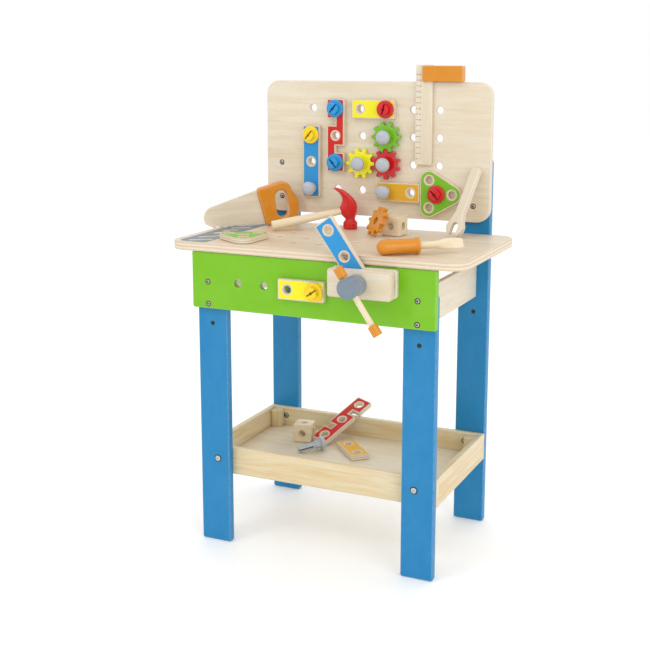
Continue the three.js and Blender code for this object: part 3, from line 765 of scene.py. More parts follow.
def side_board(node, finishes):
    """A board that faces the side, with its outline in y and z of the row frame."""
    low, high = extents(node)
    outline = rounded_box(low[1], low[2], high[1], high[2], 2.0)
    form = slab(outline, (), high[0] - low[0], sizes().board_round / MM)
    return stand_in(node, form, finishes, Matrix.Translation((low[0], 0, 0)) @ SIDEWAYS)


def flat_board(node, finishes, holes=(), radii=2.5):
    """A board that lies flat, with its outline and holes in x and y of the row frame."""
    low, high = extents(node)
    form = slab(rounded_box(low[0], low[1], high[0], high[1], radii), holes,
                high[2] - low[2], sizes().board_round / MM)
    return stand_in(node, form, finishes, lie(0, 0, low[2]))


class WORKBENCH_OT_legs(Operator):
    """Build the four painted plank legs"""
    bl_idname = "workbench.legs"
    bl_label = "Legs"

    def execute(self, context):
        for row in ("front", "back"):
            for side in ("left", "right"):
                standing_board(f"leg_{row}_{side}", satin("blue"), (), [3, 3, 14, 14],
                               sizes().plank_round, (1, 0, 2))
        return {"FINISHED"}


class WORKBENCH_OT_top(Operator):
    """Build the apron, the rails, the worktop and the peg board"""
    bl_idname = "workbench.top"
    bl_label = "Top and Boards"

    def execute(self, context):
        apron_z = extents("front_apron")[0][2] + 41.5
        holes = [circle(MID_X - 115.8 + i * PITCH, apron_z) for i in range(4)]
        holes.append(circle(VISE_X, VISE_Z))
        standing_board("front_apron", satin("green"), holes, 3.0, sizes().plank_round)
        side_board("side_rail_left", birch_faces())
        side_board("side_rail_right", birch_faces())
        standing_board("back_rail", birch_faces())
        tip_x, tip_y = MID_X - 10, TOP_LOW[1] + 62.6
        top_holes = [circle(tip_x + i * PITCH, tip_y + abs(i) * PITCH) for i in range(-2, 3)]
        top_holes += [circle(tip_x + i * PITCH, tip_y + (abs(i) - 1) * PITCH) for i in (-2, -1, 1, 2)]
        flat_board("worktop", top_faces(), top_holes, 25.0)
        pegs = [circle(*board_hole(c, r)) for c in range(6) for r in range(4)]
        standing_board("pegboard", birch_faces(), pegs, 22.0)
        return {"FINISHED"}


class WORKBENCH_OT_tray(Operator):
    """Build the storage tray with its corner blocks"""
    bl_idname = "workbench.tray"
    bl_label = "Tray"

    def execute(self, context):
        for node in ("tray_front", "tray_back"):
            standing_board(node, pine_wood(), (), 1.5)
        for node in ("tray_left", "tray_right"):
            side_board(node, pine_wood())
        flat_board("tray_floor", birch_faces(), (), 1.5)
        low, high = extents("tray_floor")
        top = extents("tray_left")[1][2]
        block, gap, drop = 17.0, 0.3, 2.5
        tall = top - drop - high[2] - gap
        for side_x, x in (("left", low[0] + gap), ("right", high[0] - block - gap)):
            for side_y, y in (("front", low[1] + gap), ("back", high[1] - block - gap)):
                form = slab(rounded_box(0, 0, block, block, 2.0), (), tall, 0.8).along((2, 0, 1))
                piece(f"tray_corner_{side_y}_{side_x}", form, pine_wood(), body_of("tray_floor"),
                      lie(x, y, high[2] + gap), slot=slot_of("tray_left"))
        return {"FINISHED"}


# ---- plates, gears, pegs and screws ------------------------------------------------------------------
def strip_form(count, notches=()):
    """A strip with its holes on the x axis and square notches cut to its middle line."""
    half, corner = STRIP_HALF, STRIP_CORNER
    end = (count - 1) * PITCH + half
    below = [np.array([[m - w, -half], [m - w, 0], [m + w, 0], [m + w, -half]])
             for m, w, side in notches if side < 0]
    above = [np.array([[m + w, half], [m + w, 0], [m - w, 0], [m - w, half]])
             for m, w, side in notches[::-1] if side > 0]
    outline = np.vstack([
        arc(-half + corner, -half + corner, corner, 180, 270, 5), *below,
        arc(end - corner, -half + corner, corner, 270, 360, 5),
        arc(end - corner, half - corner, corner, 0, 90, 5), *above,
        arc(-half + corner, half - corner, corner, 90, 180, 5)])
    return printed_slab(outline, [circle(i * PITCH, 0) for i in range(count)])


def printed_slab(outline, holes, thick=8.0):
    """A plate whose two faces are printed up to a bare border and bare rings."""
    edge = sizes().plate_round / MM
    return slab(outline, holes, thick, edge, sizes().bare_border / MM, BARE_R - HOLE_R - edge)


def triangle_form():
    """Round corners about three holes on an equilateral triangle, with a hole in the middle."""
    reach, corner = PITCH / math.sqrt(3), STRIP_HALF
    turns = [0, 120, 240]
    centres = [(reach * math.cos(math.radians(a)), reach * math.sin(math.radians(a))) for a in turns]
    outline = np.vstack([arc(x, y, corner, a - 60, a + 60, 14) for (x, y), a in zip(centres, turns)])
    return printed_slab(outline, [circle(0, 0)] + [circle(x, y) for x, y in centres])


def gear_form():
    """Radius is the root plus the tooth height times a smooth step of the distance from the
    middle of the nearest tooth."""
    a = np.linspace(0, 2 * np.pi, GEAR["teeth"] * 18, endpoint=False)
    off = np.abs((a / (2 * np.pi) * GEAR["teeth"] + 0.5) % 1 - 0.5)
    t = np.clip((GEAR["half"] - off) / GEAR["flank"], 0, 1)
    r = GEAR["root"] + (GEAR["tip"] - GEAR["root"]) * t * t * (3 - 2 * t)
    outline = np.column_stack([r * np.cos(a), r * np.sin(a)])
    return slab(outline, [circle(0, 0)], GEAR["thick"], sizes().plate_round / MM)


def nail_form():
    """A mushroom head on a thick neck, and a shaft slit along its middle. For a from 90 to 4
    degrees the dome's profile is radius head sin a ^ 0.9 and height dome cos a above the rim."""
    base = NAIL["neck"] + NAIL["rim"]
    a = np.radians(np.linspace(90, 4, 16))
    dome = np.column_stack([NAIL["head"] * np.sin(a) ** 0.9, base + NAIL["dome"] * np.cos(a)])
    stem = soften([[0, -NAIL["shaft"]], [SHAFT_R, -NAIL["shaft"]], [SHAFT_R, 0], [NAIL["neck_r"], 0],
                   [NAIL["neck_r"], NAIL["neck"]], [NAIL["head"], NAIL["neck"]],
                   [NAIL["head"], base]], 0.9)
    body = lathe(np.vstack([stem, dome]), 56)
    cut, near = NAIL["slit_half"], 0.02
    slit = bar(cut, NAIL["neck_r"] + 1, -NAIL["shaft"] - 1, NAIL["slit"] - NAIL["shaft"])
    form = carve(body, slit).along((2, 0, 1))
    x, y, z = np.abs([form.points[list(face)].mean(0) for face in form.faces]).T
    end = NAIL["shaft"] - NAIL["slit"]
    walls = (x > cut - near) | (np.abs(z - end) < near)
    # The slit's walls and end take the darker finish: painted shade in the cut.
    form.finish[(x < cut + near) & (y < SHAFT_R - 0.1) & walls] = RIM
    return form


def hexagon(r, corner):
    """A regular hexagon whose corners are rounded."""
    far = r / math.cos(math.radians(30))
    inner = far - corner / math.cos(math.radians(30))
    return np.vstack([arc(inner * math.cos(math.radians(a)), inner * math.sin(math.radians(a)),
                          corner, a - 30, a + 30, 4) for a in range(0, 360, 60)])


def screw_form(shaft):
    """A round flange, a hexagonal head with a slot and a dimple, and a plain shaft."""
    flange = lathe(soften([[0, -shaft], [SHAFT_R, -shaft], [SHAFT_R, 0], [SCREW["flange_r"], 0],
                           [SCREW["flange_r"], SCREW["flange"]], [8.0, SCREW["flange"] + 0.5],
                           [0, SCREW["flange"] + 0.5]], 1.3, 5), 64)
    top = SCREW["head"]
    bottom = top - SCREW["slot_deep"]
    head = slab(hexagon(SCREW["hex"], SCREW["hex_corner"]), (), top - 1, 1.1).moved(lie(0, 0, 1))
    slot = bar(12, SCREW["slot_half"], bottom, top + 1)
    dimple = rod(SCREW["dimple_r"], top - SCREW["dimple_deep"], top + 1, 32)
    form = carve(carve(flange, head, how="UNION"), slot, dimple)
    middle = np.array([form.points[list(face)].mean(0) for face in form.faces])
    x, y, z = middle.T
    inside = (np.hypot(x, y) < 8) & (z < top - 0.2) & (z > SCREW["flange"] + 0.6)
    in_cut = np.isclose(z, bottom, atol=0.05) | (np.abs(y) < SCREW["slot_half"] + 0.02)
    # The faces inside the slot and the dimple take the darker finish: painted shade in the cut.
    form.finish[inside & in_cut] = RIM
    return form


class WORKBENCH_OT_plates(Operator):
    """Build the strips, the plates and the triangles"""
    bl_idname = "workbench.plates"
    bl_label = "Plates"

    def execute(self, context):
        for node, count, notches, tint, column, row, spin in [
                ("blue_strip", 3, (), "sky", 0, 1, -90), ("red_strip", 3, NOTCHES, "red", 1, 0, -90),
                ("yellow_plate", 2, (), "lemon", 2, 0, 0), ("amber_plate", 2, (), "amber", 3, 3, 0)]:
            x, z = board_hole(column, row)
            stand_in(node, strip_form(count, notches), printed(tint),
                     stand(x, extents(node)[1][1], z, spin))
        x, z = board_hole(5, 3)
        stand_in("triangle_plate", triangle_form(), printed("green"),
                 stand(x, extents("triangle_plate")[1][1], z))
        low, high = extents("apron_plate")
        stand_in("apron_plate", strip_form(2), printed("lemon"),
                 stand(low[0] + STRIP_HALF, high[1], low[2] + STRIP_HALF))
        stand_in("clamped_strip", strip_form(3), printed("sky"),
                 stand(VISE_X, extents("clamped_strip")[1][1], VISE_Z, 90 + STRIP_LEAN))
        stand_in("loose_triangle", triangle_form(), printed("green"), on_top(*LOOSE["loose_triangle"]))
        middle = Matrix.Translation((-PITCH / 2, 0, 0))
        stand_in("tray_plate", strip_form(2), printed("amber"),
                 in_tray(*IN_TRAY["tray_plate"]) @ middle)
        wall = extents("tray_back")
        foot = APRON_FRONT + IN_TRAY["tray_strip"][1]
        rise = math.atan((wall[1][2] - TRAY_Z + REST_GAP) / (wall[0][1] - JOINT - foot))
        over = [(m, w, -side) for m, w, side in NOTCHES][::-1]
        stand_in("tray_strip", strip_form(3, sorted(over)), printed("red"),
                 in_tray(*IN_TRAY["tray_strip"]) @ Matrix.Rotation(rise, 4, "X") @ turn(70, "Z")
                 @ Matrix.Translation((STRIP_HALF, STRIP_HALF, 0)))
        return {"FINISHED"}


class WORKBENCH_OT_gears(Operator):
    """Build the three meshing gears and the loose one"""
    bl_idname = "workbench.gears"
    bl_label = "Gears"

    def execute(self, context):
        for node, tint, column, row, phase in [
                ("green_gear", "green", 3, 1, 0), ("yellow_gear", "lemon", 2, 2, 0),
                ("red_gear", "red", 3, 2, 18)]:
            x, z = board_hole(column, row)
            stand_in(node, gear_form(), gloss(tint), stand(x, extents(node)[1][1], z, phase))
        lean = turn(-26.6, "X")
        stand_in("orange_gear", gear_form(), gloss("orange"),
                 on_top(*LOOSE["orange_gear"]) @ lean @ stand(0, GEAR["thick"] / 2, 0))
        return {"FINISHED"}


class WORKBENCH_OT_pegs(Operator):
    """Build the grey pegs"""
    bl_idname = "workbench.pegs"
    bl_label = "Pegs"

    def execute(self, context):
        for node, column, row in [
                ("strip_nail", 0, 3), ("plate_nail", 3, 3), ("green_gear_nail", 3, 1),
                ("yellow_gear_nail", 2, 2), ("red_gear_nail", 3, 2)]:
            x, z = board_hole(column, row)
            y = extents(node)[1][1] - NAIL["shaft"]
            stand_in(node, nail_form(), gloss_with_shaded_cuts("grey"), stand(x, y, z))
        stand_in("tray_nail", nail_form(), gloss_with_shaded_cuts("grey"),
                 in_tray(*IN_TRAY["tray_nail"]) @ turn(81, "Y"))
        return {"FINISHED"}


class WORKBENCH_OT_screws(Operator):
    """Build the coloured toy screws"""
    bl_idname = "workbench.screws"
    bl_label = "Coloured Screws"

    def execute(self, context):
        for node, tint, column, row, spin in [
                ("yellow_screw", "sun", 0, 1, 50), ("blue_screw_upper", "sky", 1, 0, 50),
                ("blue_screw_lower", "sky", 1, 2, -50), ("red_screw", "red", 3, 0, 75),
                ("triangle_screw", "red", 5, 3, -50)]:
            x, z = board_hole(column, row)
            y = extents(node)[1][1] - SCREW["shaft"]
            stand_in(node, screw_form(SCREW["shaft"]), gloss_with_shaded_cuts(tint), stand(x, y, z, spin))
        low, high = extents("apron_screw")
        stand_in("apron_screw", screw_form(SCREW["long_shaft"]), gloss_with_shaded_cuts("sun"),
                 stand((low[0] + high[0]) / 2, high[1] - SCREW["long_shaft"], (low[2] + high[2]) / 2, 35))
        return {"FINISHED"}


# ---- vise --------------------------------------------------------------------------------------------
def threaded_rod(r, low, high, thread_to):
    """Radius is r less a rounded groove: depth times half of 1 + cos of the turn that the point
    has gone round the thread, which fades out at the plain end."""
    pitch = sizes().thread_pitch / MM
    depth = 1.1
    z = np.arange(low, high + 0.001, 0.45)
    a = np.linspace(0, 2 * np.pi, 40, endpoint=False)
    groove = depth * (0.5 + 0.5 * np.cos(a[None] - z[:, None] * 2 * np.pi / pitch)) ** 1.5
    fade = np.clip((thread_to - z) / 3, 0, 1) * np.clip((z - low) / 1.5, 0.25, 1)
    radius = r - groove * fade[:, None] - np.clip(1 - (z - low), 0, 1)[:, None]
    rings = np.stack([radius * np.cos(a), radius * np.sin(a), np.repeat(z[:, None], len(a), 1)], -1)
    return loft(rings).along((2, 0, 1))


class WORKBENCH_OT_vise(Operator):
    """Build the vise: jaws, hub, wooden screw, nut and sliding bar"""
    bl_idname = "workbench.vise"
    bl_label = "Vise"

    def execute(self, context):
        for node in ("vise_back_jaw", "vise_front_jaw"):
            standing_board(node, birch_faces(), [circle(VISE_X, VISE_Z)], 4.0, 0.0018)
        hub_front, hub_back = extents("vise_hub")[0][1], extents("vise_hub")[1][1]
        long, dish = hub_back - hub_front, 0.6
        hub = lathe(soften([[0, 0], [HUB_R, 0], [HUB_R, long], [12, long], [11.6, long - dish],
                            [0, long - dish]], 1.5), 64)
        bore = rod(BAR_BORE, -20, 20).moved(lie(0, 0, BAR_AT, -BAR_SLOPE) @ turn(90, "Y"))
        stand_in("vise_hub", carve(hub, bore), gloss("slate"), stand(VISE_X, hub_back, VISE_Z))
        low, high = extents("vise_screw")
        socket = hub_back - low[1]
        stand_in("vise_screw", threaded_rod(SHAFT_R, hub_back - high[1], socket, -24.0), beech_wood(),
                 stand(VISE_X, hub_back, VISE_Z))
        low, high = extents("vise_nut")
        nut = slab(hexagon(10.8, 1.5), [circle(0, 0)], high[1] - low[1], 0.8)
        stand_in("vise_nut", nut, beech_wood(), stand(VISE_X, high[1], VISE_Z, 30))
        axis = Vector((math.cos(math.radians(BAR_SLOPE)), 0, -math.sin(math.radians(BAR_SLOPE))))
        aim = (Matrix.Translation((VISE_X, hub_back - BAR_AT, VISE_Z))
               @ Vector((0, 0, 1)).rotation_difference(axis).to_matrix().to_4x4())
        start, end = BAR_ENDS
        low, high = start - CAP["socket"], end + CAP["socket"]
        slide = lathe(soften([[0, low], [BAR_R, low], [BAR_R, high], [0, high]], 0.5))
        stand_in("vise_bar", slide, beech_wood(), aim)
        cap = soften([[0, 0], [CAP["r"], 0], [CAP["r"], CAP["long"]], [0, CAP["long"]]], 1.3)
        flip = Matrix.Rotation(math.pi, 4, "X")
        stand_in("bar_cap_lower", lathe(cap), gloss("orange"), aim @ lie(0, 0, end))
        stand_in("bar_cap_upper", lathe(cap), gloss("orange"), aim @ lie(0, 0, start) @ flip)
        return {"FINISHED"}


# ---- tools ---------------------------------------------------------------------------------------------
class WORKBENCH_OT_saw(Operator):
    """Build the saw"""
    bl_idname = "workbench.saw"
    bl_label = "Saw"

    def execute(self, context):
        place = on_top(*LOOSE["saw"])
        # x runs along the blade to the handle, and y up. The teeth are a raised cosine on a line
        # that climbs a little.
        waves, wave, height, start, climb = 5, 14.0, 2.2, -142.0, 0.24
        t = np.linspace(0, waves, waves * 12 + 1)
        rise = height * (1 - np.cos(2 * np.pi * t)) / 2 + t * climb
        teeth = np.column_stack([start + t * wave, rise])
        outline = np.vstack([teeth, [[-45, 4], [-45, 54], [-72, 57.5]], arc(-139.5, 16.5, 18, 106, 216, 14)])
        blade = slab(outline, (), 5, 0.9)
        stand_in("saw_blade", blade, birch_faces(), place @ stand(0, 2.5, 0))
        grip = np.vstack([arc(-30, 46, 10.5, 10, 190, 14), arc(-27, 24, 10.5, 190, 370, 14)])
        shape = np.vstack([
            arc(-49, 9, 8.5, 180, 270, 6), arc(-14, 14, 14, 270, 350, 8), arc(-20, 34, 20, -5, 20, 4),
            arc(-29, 54, 17, 12, 95, 10), arc(-62, 54.5, 8, 115, 190, 6)])
        handle = slab(shape, [grip], 15, 3.2).along((1, 0, 2))
        stand_in("saw_handle", handle, gloss("orange"), place @ stand(0, 7.5, 0))
        return {"FINISHED"}


class WORKBENCH_OT_hammer(Operator):
    """Build the hammer"""
    bl_idname = "workbench.hammer"
    bl_label = "Hammer"

    def execute(self, context):
        place = on_top(*LOOSE["hammer"])
        # Each station gives the outer and the inner side of the head, as x and z of the head's
        # own frame, then half its thickness and the power that makes its section boxy. A ring
        # goes round the middle of the two sides: their half distance times squared(cos a), and
        # the half thickness times squared(sin a).
        stations = [
            [-10.4, 0, 10.4, 0, 10.4, 1.0], [-11.3, 1.2, 11.3, 1.2, 11.3, 1.0],
            [-11.4, 6, 11.4, 6, 11.4, 1.0], [-11.2, 10.4, 11.2, 10.4, 11.2, 1.0],
            [-8.6, 13, 8.8, 13, 8.8, 1.0], [-7.6, 16.5, 8.2, 16, 7.8, 0.95],
            [-8.9, 21.5, 11.6, 19.5, 8.4, 0.8], [-10.3, 27.5, 16.4, 26, 9, 0.7],
            [-10.7, 34, 17.4, 33, 9, 0.65], [-9.0, 41.5, 14.6, 39.5, 9, 0.65],
            [-4.6, 48.5, 12.9, 46, 8.9, 0.65], [1.8, 55, 14.2, 51, 8.8, 0.65],
            [9.4, 60.7, 17.2, 55.6, 8.6, 0.65], [16.5, 64.2, 21.2, 59.6, 8.3, 0.65],
            [23, 65.9, 24.6, 62.2, 8, 0.7], [27.3, 65.2, 27.6, 64.3, 7.6, 0.8]]
        rows = smooth_path(stations, 5)
        a = np.linspace(0, 2 * np.pi, 40, endpoint=False)
        wide, deep = squared(np.cos(a), rows[:, 5:6]), squared(np.sin(a), rows[:, 5:6])
        middle = (rows[:, 0:2] + rows[:, 2:4]) / 2
        half = (rows[:, 2:4] - rows[:, 0:2]) / 2
        rings = np.stack([middle[:, :1] + half[:, :1] * wide, rows[:, 4:5] * deep,
                          middle[:, 1:] + half[:, 1:] * wide], -1)
        head = loft(rings).along((2, 0, 1))
        stand_in("hammer_head", head, gloss("red"), place, 60)
        long = HAMMER_HANDLE
        handle = lathe(soften([[0, -3], [4.9, -3], [5.2, 20], [7.2, 100], [7.4, long], [0, long]], 1.2), 48)
        tilt = lie(0, 0, 31) @ turn(100.2, "Y")
        stand_in("hammer_handle", handle, beech_wood(), place @ tilt)
        return {"FINISHED"}


class WORKBENCH_OT_screwdriver(Operator):
    """Build the screwdriver"""
    bl_idname = "workbench.screwdriver"
    bl_label = "Screwdriver"

    def execute(self, context):
        place = on_top(*LOOSE["screwdriver"]) @ turn(88.7, "Y")
        long, r = 60.0, DRIVER_R
        a = np.radians(np.linspace(4, 90, 12))
        butt = np.column_stack([r * np.sin(a) ** 0.8, 11.0 * (1 - np.cos(a))])
        rim = soften([[r, 11.5], [r, long - 5], [11.7, long - 3.6], [11.7, long], [0, long]], 1.1, 5)
        stand_in("screwdriver_handle", lathe(np.vstack([butt, rim]), 56), gloss("orange"), place)
        # The shank is a rod flared and flattened to a blade: x is the half thickness times
        # squared(cos t), and y the half width times squared(sin t).
        z = np.linspace(46.5, 123.8, 60)
        wide = np.interp(z, [46, 84, 97, 112, 121, 124], [5.2, 5.2, 7.9, 8.0, 7.2, 6.2])
        flat = np.interp(z, [46, 88, 100, 112, 124], [5.2, 5.2, 4.4, 2.7, 1.5])
        t = np.linspace(0, 2 * np.pi, 40, endpoint=False)
        boxy = np.interp(z, [88, 110], [1.0, 0.55])[:, None]
        x = flat[:, None] * squared(np.cos(t), boxy)
        y = wide[:, None] * squared(np.sin(t), boxy)
        shank = loft(np.stack([x, y, np.repeat(z[:, None], len(t), 1)], -1)).along((2, 0, 1))
        stand_in("screwdriver_shank", shank, beech_wood(), place @ lie(yaw=65), 50)
        return {"FINISHED"}


def figure_form(text, size):
    """One printed number as a thin closed mesh, centred on its own origin."""
    curve = bpy.data.curves.new("figure", "FONT")
    curve.body, curve.size, curve.extrude = text, size, 0.04
    curve.align_x, curve.align_y, curve.resolution_u = "CENTER", "CENTER", 2
    holder = bpy.data.objects.new("figure", curve)
    bpy.context.collection.objects.link(holder)
    bpy.context.view_layer.update()
    mesh = bpy.data.meshes.new_from_object(holder.evaluated_get(bpy.context.evaluated_depsgraph_get()))
    points = np.empty(len(mesh.vertices) * 3)
    mesh.vertices.foreach_get("co", points)
    form = Form(points, [tuple(p.vertices) for p in mesh.polygons])
    bpy.data.objects.remove(holder)
    bpy.data.curves.remove(curve)
    bpy.data.meshes.remove(mesh)
    return form


class WORKBENCH_OT_square(Operator):
    """Build the try square with its scale"""
    bl_idname = "workbench.square"
    bl_label = "Square"

    def execute(self, context):
        standing_board("square_blade", birch_faces(), (), 1.5, 0.0008, (1, 0, 2))
        low, high = extents("square_stock")
        form = slab(rounded_box(low[0], low[2], high[0], high[2], 2.5), (), high[1] - low[1], 1.6)
        stand_in("square_stock", form, gloss("orange"), stand(0, high[1], 0))
        low, high = extents("square_blade")
        first, spacing, marks = 9.1, 8.6, 16
        scale = None
        for i in range(marks):
            z = low[2] + first + i * spacing
            tick = bar(1.5, 0.36, 0, 0.1).moved(lie(low[0] + 2.9, z))
            number = figure_form(str(i + 1), 4.4).moved(lie(low[0] + 7.4, z, 0.05, -90))
            scale = tick + number if scale is None else scale + tick + number
        piece("square_scale", scale, [ink_finish("scale ink", colours().ink)], body_of("square_blade"),
              stand(0, low[1] - 0.02, 0))
        return {"FINISHED"}


class WORKBENCH_OT_wrench(Operator):
    """Build the wrench"""
    bl_idname = "workbench.wrench"
    bl_label = "Wrench"

    def execute(self, context):
        half, slot, jaw, jaw_y, neck, long = 7.5, 6.0, 15.0, 14.0, 37.0, 110.0
        outline = np.vstack([
            [[-slot, 1.2]], arc(0, jaw_y + 1, slot, 180, 0, 12), [[slot, 1.2]],
            arc(0, jaw_y, jaw, -60, 40, 14), arc(half + 5, neck, 5, 220, 180, 5),
            arc(half - 4, long - 4, 4, 0, 90, 6), arc(-half + 4, long - 4, 4, 90, 180, 6),
            arc(-half - 5, neck, 5, 0, -40, 5), arc(0, jaw_y, jaw, 140, 240, 14)])
        form = slab(outline, (), 9, 1.3).along((1, 0, 2))
        lean = 22.3
        place = on_top(*LOOSE["wrench"]) @ turn(90 - lean, "X") @ lie(0, 0, -4.5, -7.5)
        stand_in("wrench", form, birch_faces(), place)
        return {"FINISHED"}


class WORKBENCH_OT_cubes(Operator):
    """Build the two drilled cubes"""
    bl_idname = "workbench.cubes"
    bl_label = "Cubes"

    def execute(self, context):
        half = 15.0
        for node, place in (("bench_cube", on_top(*LOOSE["bench_cube"])),
                            ("tray_cube", in_tray(*IN_TRAY["tray_cube"]))):
            block = slab(rounded_box(-half, -half, half, half, 1.6), [circle(0, 0)], 2 * half, 1.4)
            across = rod(HOLE_R, -20, 20).moved(stand(0, 0, half))
            side = rod(HOLE_R, -20, 20).moved(lie(0, 0, half) @ turn(90, "Y"))
            stand_in(node, carve(block, across, side), beech_wood(), place)
        return {"FINISHED"}


# ---- metal fasteners and printing ----------------------------------------------------------------------
def cross_screw(r):
    """A domed screw head with a cross cut into it, on a near-black disc wider than the head: painted shade
    in the gap round it.
    """
    a = np.radians(np.linspace(90, 5, 8))
    dome = np.column_stack([r * np.sin(a), 0.25 + 1.0 * np.cos(a)])
    head = lathe(np.vstack([[[r, 0]], dome]), 40)
    bars = [bar(r * 0.66, 0.62, 0.2, 3).moved(lie(yaw=spin)) for spin in (20, 110)]
    head = carve(head, *bars)
    # gap: a near-black disc under the head, painted shade
    gap = lathe(soften([[0, -0.5], [r + 1.3, -0.5], [r + 1.3, 0.22], [0, 0.22]], 0.1), 40, RIM)
    return head + gap


def socket_bolt(r, reach=0.5):
    """A round bolt head with a hexagonal socket, on a near-black disc wider than the head: painted shade in
    the gap round it.
    """
    head = lathe(soften([[0, 0], [r, 0], [r, reach + 0.7], [0, reach + 0.7]], 0.6), 40)
    head = carve(head, rod(r * 0.5, 0.3, 3, 6))
    # gap: a near-black disc under the head, painted shade
    gap = lathe(soften([[0, -0.5], [r + 1.4, -0.5], [r + 1.4, 0.22], [0, 0.22]], 0.1), 40, RIM)
    return head + gap


class WORKBENCH_OT_fasteners(Operator):
    """Build the screws and bolts that hold the frame"""
    bl_idname = "workbench.fasteners"
    bl_label = "Fasteners"

    def execute(self, context):
        metal = [steel_finish("zinc steel"), steel_finish("screw gap", True)]
        # The small leg sockets and worktop fixings are drawn whole in the near-black finish: painted shade
        # in their holes.
        dark = metal[1:]
        root = body_of("worktop")
        front, inner = extents("leg_front_left")[0][1], extents("leg_front_left")[1][1]
        back, wall = extents("leg_back_left")[0][1], extents("tray_back")[0][1]
        for side, name in ((-1, "left"), (1, "right")):
            # x is from the bench's middle.
            for kind, form, finishes, x, y, z in [
                    ("apron_fixing_upper", cross_screw(3.0), metal, 165, APRON_FRONT, 410.6),
                    ("apron_fixing_lower", cross_screw(3.0), metal, 165, APRON_FRONT, 377.3),
                    ("board_fixing_upper", cross_screw(3.0), metal, 164, BOARD_LOW[1], 567.5),
                    ("board_fixing_lower", cross_screw(3.0), metal, 164, BOARD_LOW[1], 512.0),
                    ("leg_socket_front", socket_bolt(2.0, 0.1), dark, 164.5, front, 345.5),
                    ("leg_socket_back", socket_bolt(2.0, 0.1), dark, 165.7, back, 345.0),
                    ("tray_bolt", socket_bolt(4.3), metal, 159.5, front, 133.5),
                    ("tray_bolt_end", cross_screw(3.4), metal, 159.0, wall, 134.5)]:
                piece(f"{kind}_{name}", form, finishes, root, stand(MID_X + side * x, y, z))
            piece(f"rail_fixing_{name}", cross_screw(3.0), metal, root,
                  lie(MID_X + side * 169.7, inner + 14, 398) @ turn(90 * side, "Y"))
            piece(f"top_fixing_{name}", cross_screw(1.6), dark, root,
                  lie(MID_X + side * 165, TOP_LOW[1] + 7, TOP_HIGH[2] - 1.0))
        return {"FINISHED"}


class WORKBENCH_OT_band(Operator):
    """Build the printed band at the left end of the worktop"""
    bl_idname = "workbench.band"
    bl_label = "Printed Band"

    def execute(self, context):
        y0 = APRON_FRONT + 2
        outline = rounded_box(MID_X - 218, y0, MID_X - 170, y0 + 226, [14, 6, 6, 14])
        slots = [capsule(-202, 15, -178, 33, 4.2), capsule(-203, 45, -183, 66, 4.2),
                 capsule(-201, 88, -193, 108, 5.0), capsule(-202, 118, -189, 130, 4.2),
                 capsule(-203, 146, -183, 160, 4.2), capsule(-202, 174, -186, 194, 4.2)]
        holes = [slot + [MID_X, APRON_FRONT] for slot in slots]
        form = slab(outline, holes, 0.1, 0.02).along((1, 0, 2))
        piece("printed_band", form, [ink_finish("band ink", colours().band)], body_of("worktop"),
              lie(0, 0, TOP_HIGH[2] + 0.03), slot=slot_of("worktop"))
        return {"FINISHED"}


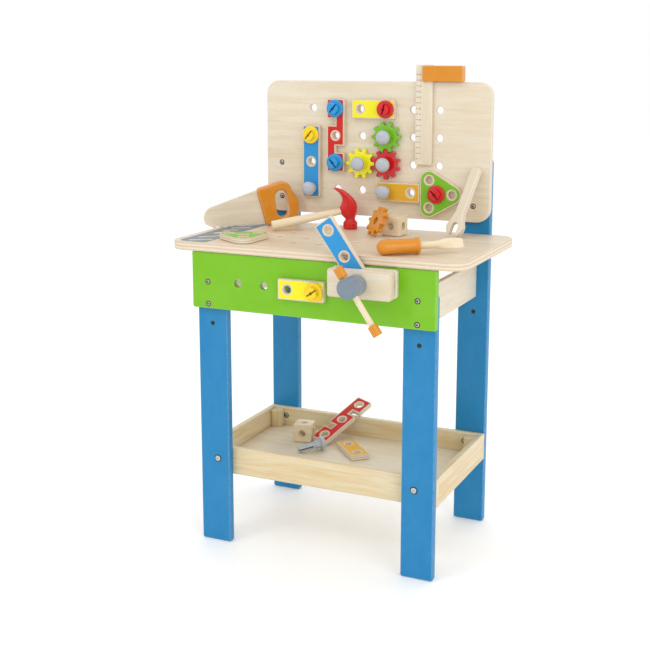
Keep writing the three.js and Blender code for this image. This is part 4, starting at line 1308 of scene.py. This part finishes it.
# ---- stage ------------------------------------------------------------------------------------------------
class WORKBENCH_OT_stage(Operator):
    """Lay the floor, and set the lights and the camera"""
    bl_idname = "workbench.stage"
    bl_label = "Stage"

    def execute(self, context):
        scene = context.scene
        mesh = bpy.data.meshes.new("floor")
        half, drop = 6.0, 0.0004
        mesh.from_pydata([(-half, -half, -drop), (half, -half, -drop), (half, half, -drop),
                          (-half, half, -drop)], [], [(0, 1, 2, 3)])
        mesh.materials.append(floor_finish("studio floor", colours().floor))
        floor = bpy.data.objects.new("floor", mesh)
        scene.collection.objects.link(floor)
        world = bpy.data.worlds.new("studio")
        scene.world = world
        world.use_nodes = True
        world.node_tree.nodes["Background"].inputs["Color"].default_value = (1, 1, 1, 1)
        world.node_tree.nodes["Background"].inputs["Strength"].default_value = 1.0
        # name, place, size in metres, power in watts, and the point it is aimed at
        for name, place, size, power, aim in [
                ("key", (-0.9, -1.6, 2.0), 0.5, 6, (0, 0, 0.35)),
                ("fill", (1.9, -1.2, 1.3), 1.6, 10, (0, 0, 0.35)),
                ("rim", (0.4, 1.8, 1.9), 1.4, 4, (0, 0, 0.45))]:
            lamp = bpy.data.lights.new(name, "AREA")
            lamp.shape, lamp.size, lamp.energy = "DISK", size, power
            light = bpy.data.objects.new(name, lamp)
            light.location = place
            light.rotation_euler = (Vector(aim) - Vector(place)).to_track_quat("-Z", "Y").to_euler()
            scene.collection.objects.link(light)
        scene.view_settings.view_transform = "Standard"
        camera = bpy.data.cameras.new("camera")
        image_size, focal, sensor = 650.0, 1151.65, 36.0
        down, turned = 10.74, 24.83
        camera.sensor_width, camera.lens = sensor, focal / image_size * sensor
        camera.shift_y = -0.08
        view = bpy.data.objects.new("camera", camera)
        view.location = Vector((MID_X + 694.97, APRON_FRONT + 171 - 1616.77, 740.93)) * MM
        view.rotation_euler = (math.radians(90 - down), 0, math.radians(turned))
        scene.collection.objects.link(view)
        scene.camera = view
        return {"FINISHED"}


STEPS = [
    WORKBENCH_OT_legs, WORKBENCH_OT_top, WORKBENCH_OT_tray, WORKBENCH_OT_plates, WORKBENCH_OT_gears,
    WORKBENCH_OT_pegs, WORKBENCH_OT_screws, WORKBENCH_OT_vise, WORKBENCH_OT_saw, WORKBENCH_OT_hammer,
    WORKBENCH_OT_screwdriver, WORKBENCH_OT_square, WORKBENCH_OT_wrench, WORKBENCH_OT_cubes,
    WORKBENCH_OT_fasteners, WORKBENCH_OT_band, WORKBENCH_OT_stage]


class WORKBENCH_PT_panel(Panel):
    """Lists the workbench's settings and its build steps"""
    bl_idname = "WORKBENCH_PT_panel"
    bl_label = "Toy Workbench"
    bl_space_type = "VIEW_3D"
    bl_region_type = "UI"
    bl_category = "Workbench"

    def draw(self, context):
        for group in (context.scene.workbench_sizes, context.scene.workbench_colours):
            column = self.layout.column(align=True)
            for key in group.__annotations__:
                column.prop(group, key)
        for step in STEPS:
            self.layout.operator(step.bl_idname)


CLASSES = [WorkbenchSizes, WorkbenchColours, *STEPS, WORKBENCH_PT_panel]


def register():
    for cls in CLASSES:
        bpy.utils.register_class(cls)
    bpy.types.Scene.workbench_sizes = PointerProperty(type=WorkbenchSizes)
    bpy.types.Scene.workbench_colours = PointerProperty(type=WorkbenchColours)


def unregister():
    del bpy.types.Scene.workbench_colours
    del bpy.types.Scene.workbench_sizes
    for cls in reversed(CLASSES):
        bpy.utils.unregister_class(cls)


def main():
    register()
    for step in STEPS:
        group, name = step.bl_idname.split(".")
        getattr(getattr(bpy.ops, group), name)()


if __name__ == "__main__":
    main()
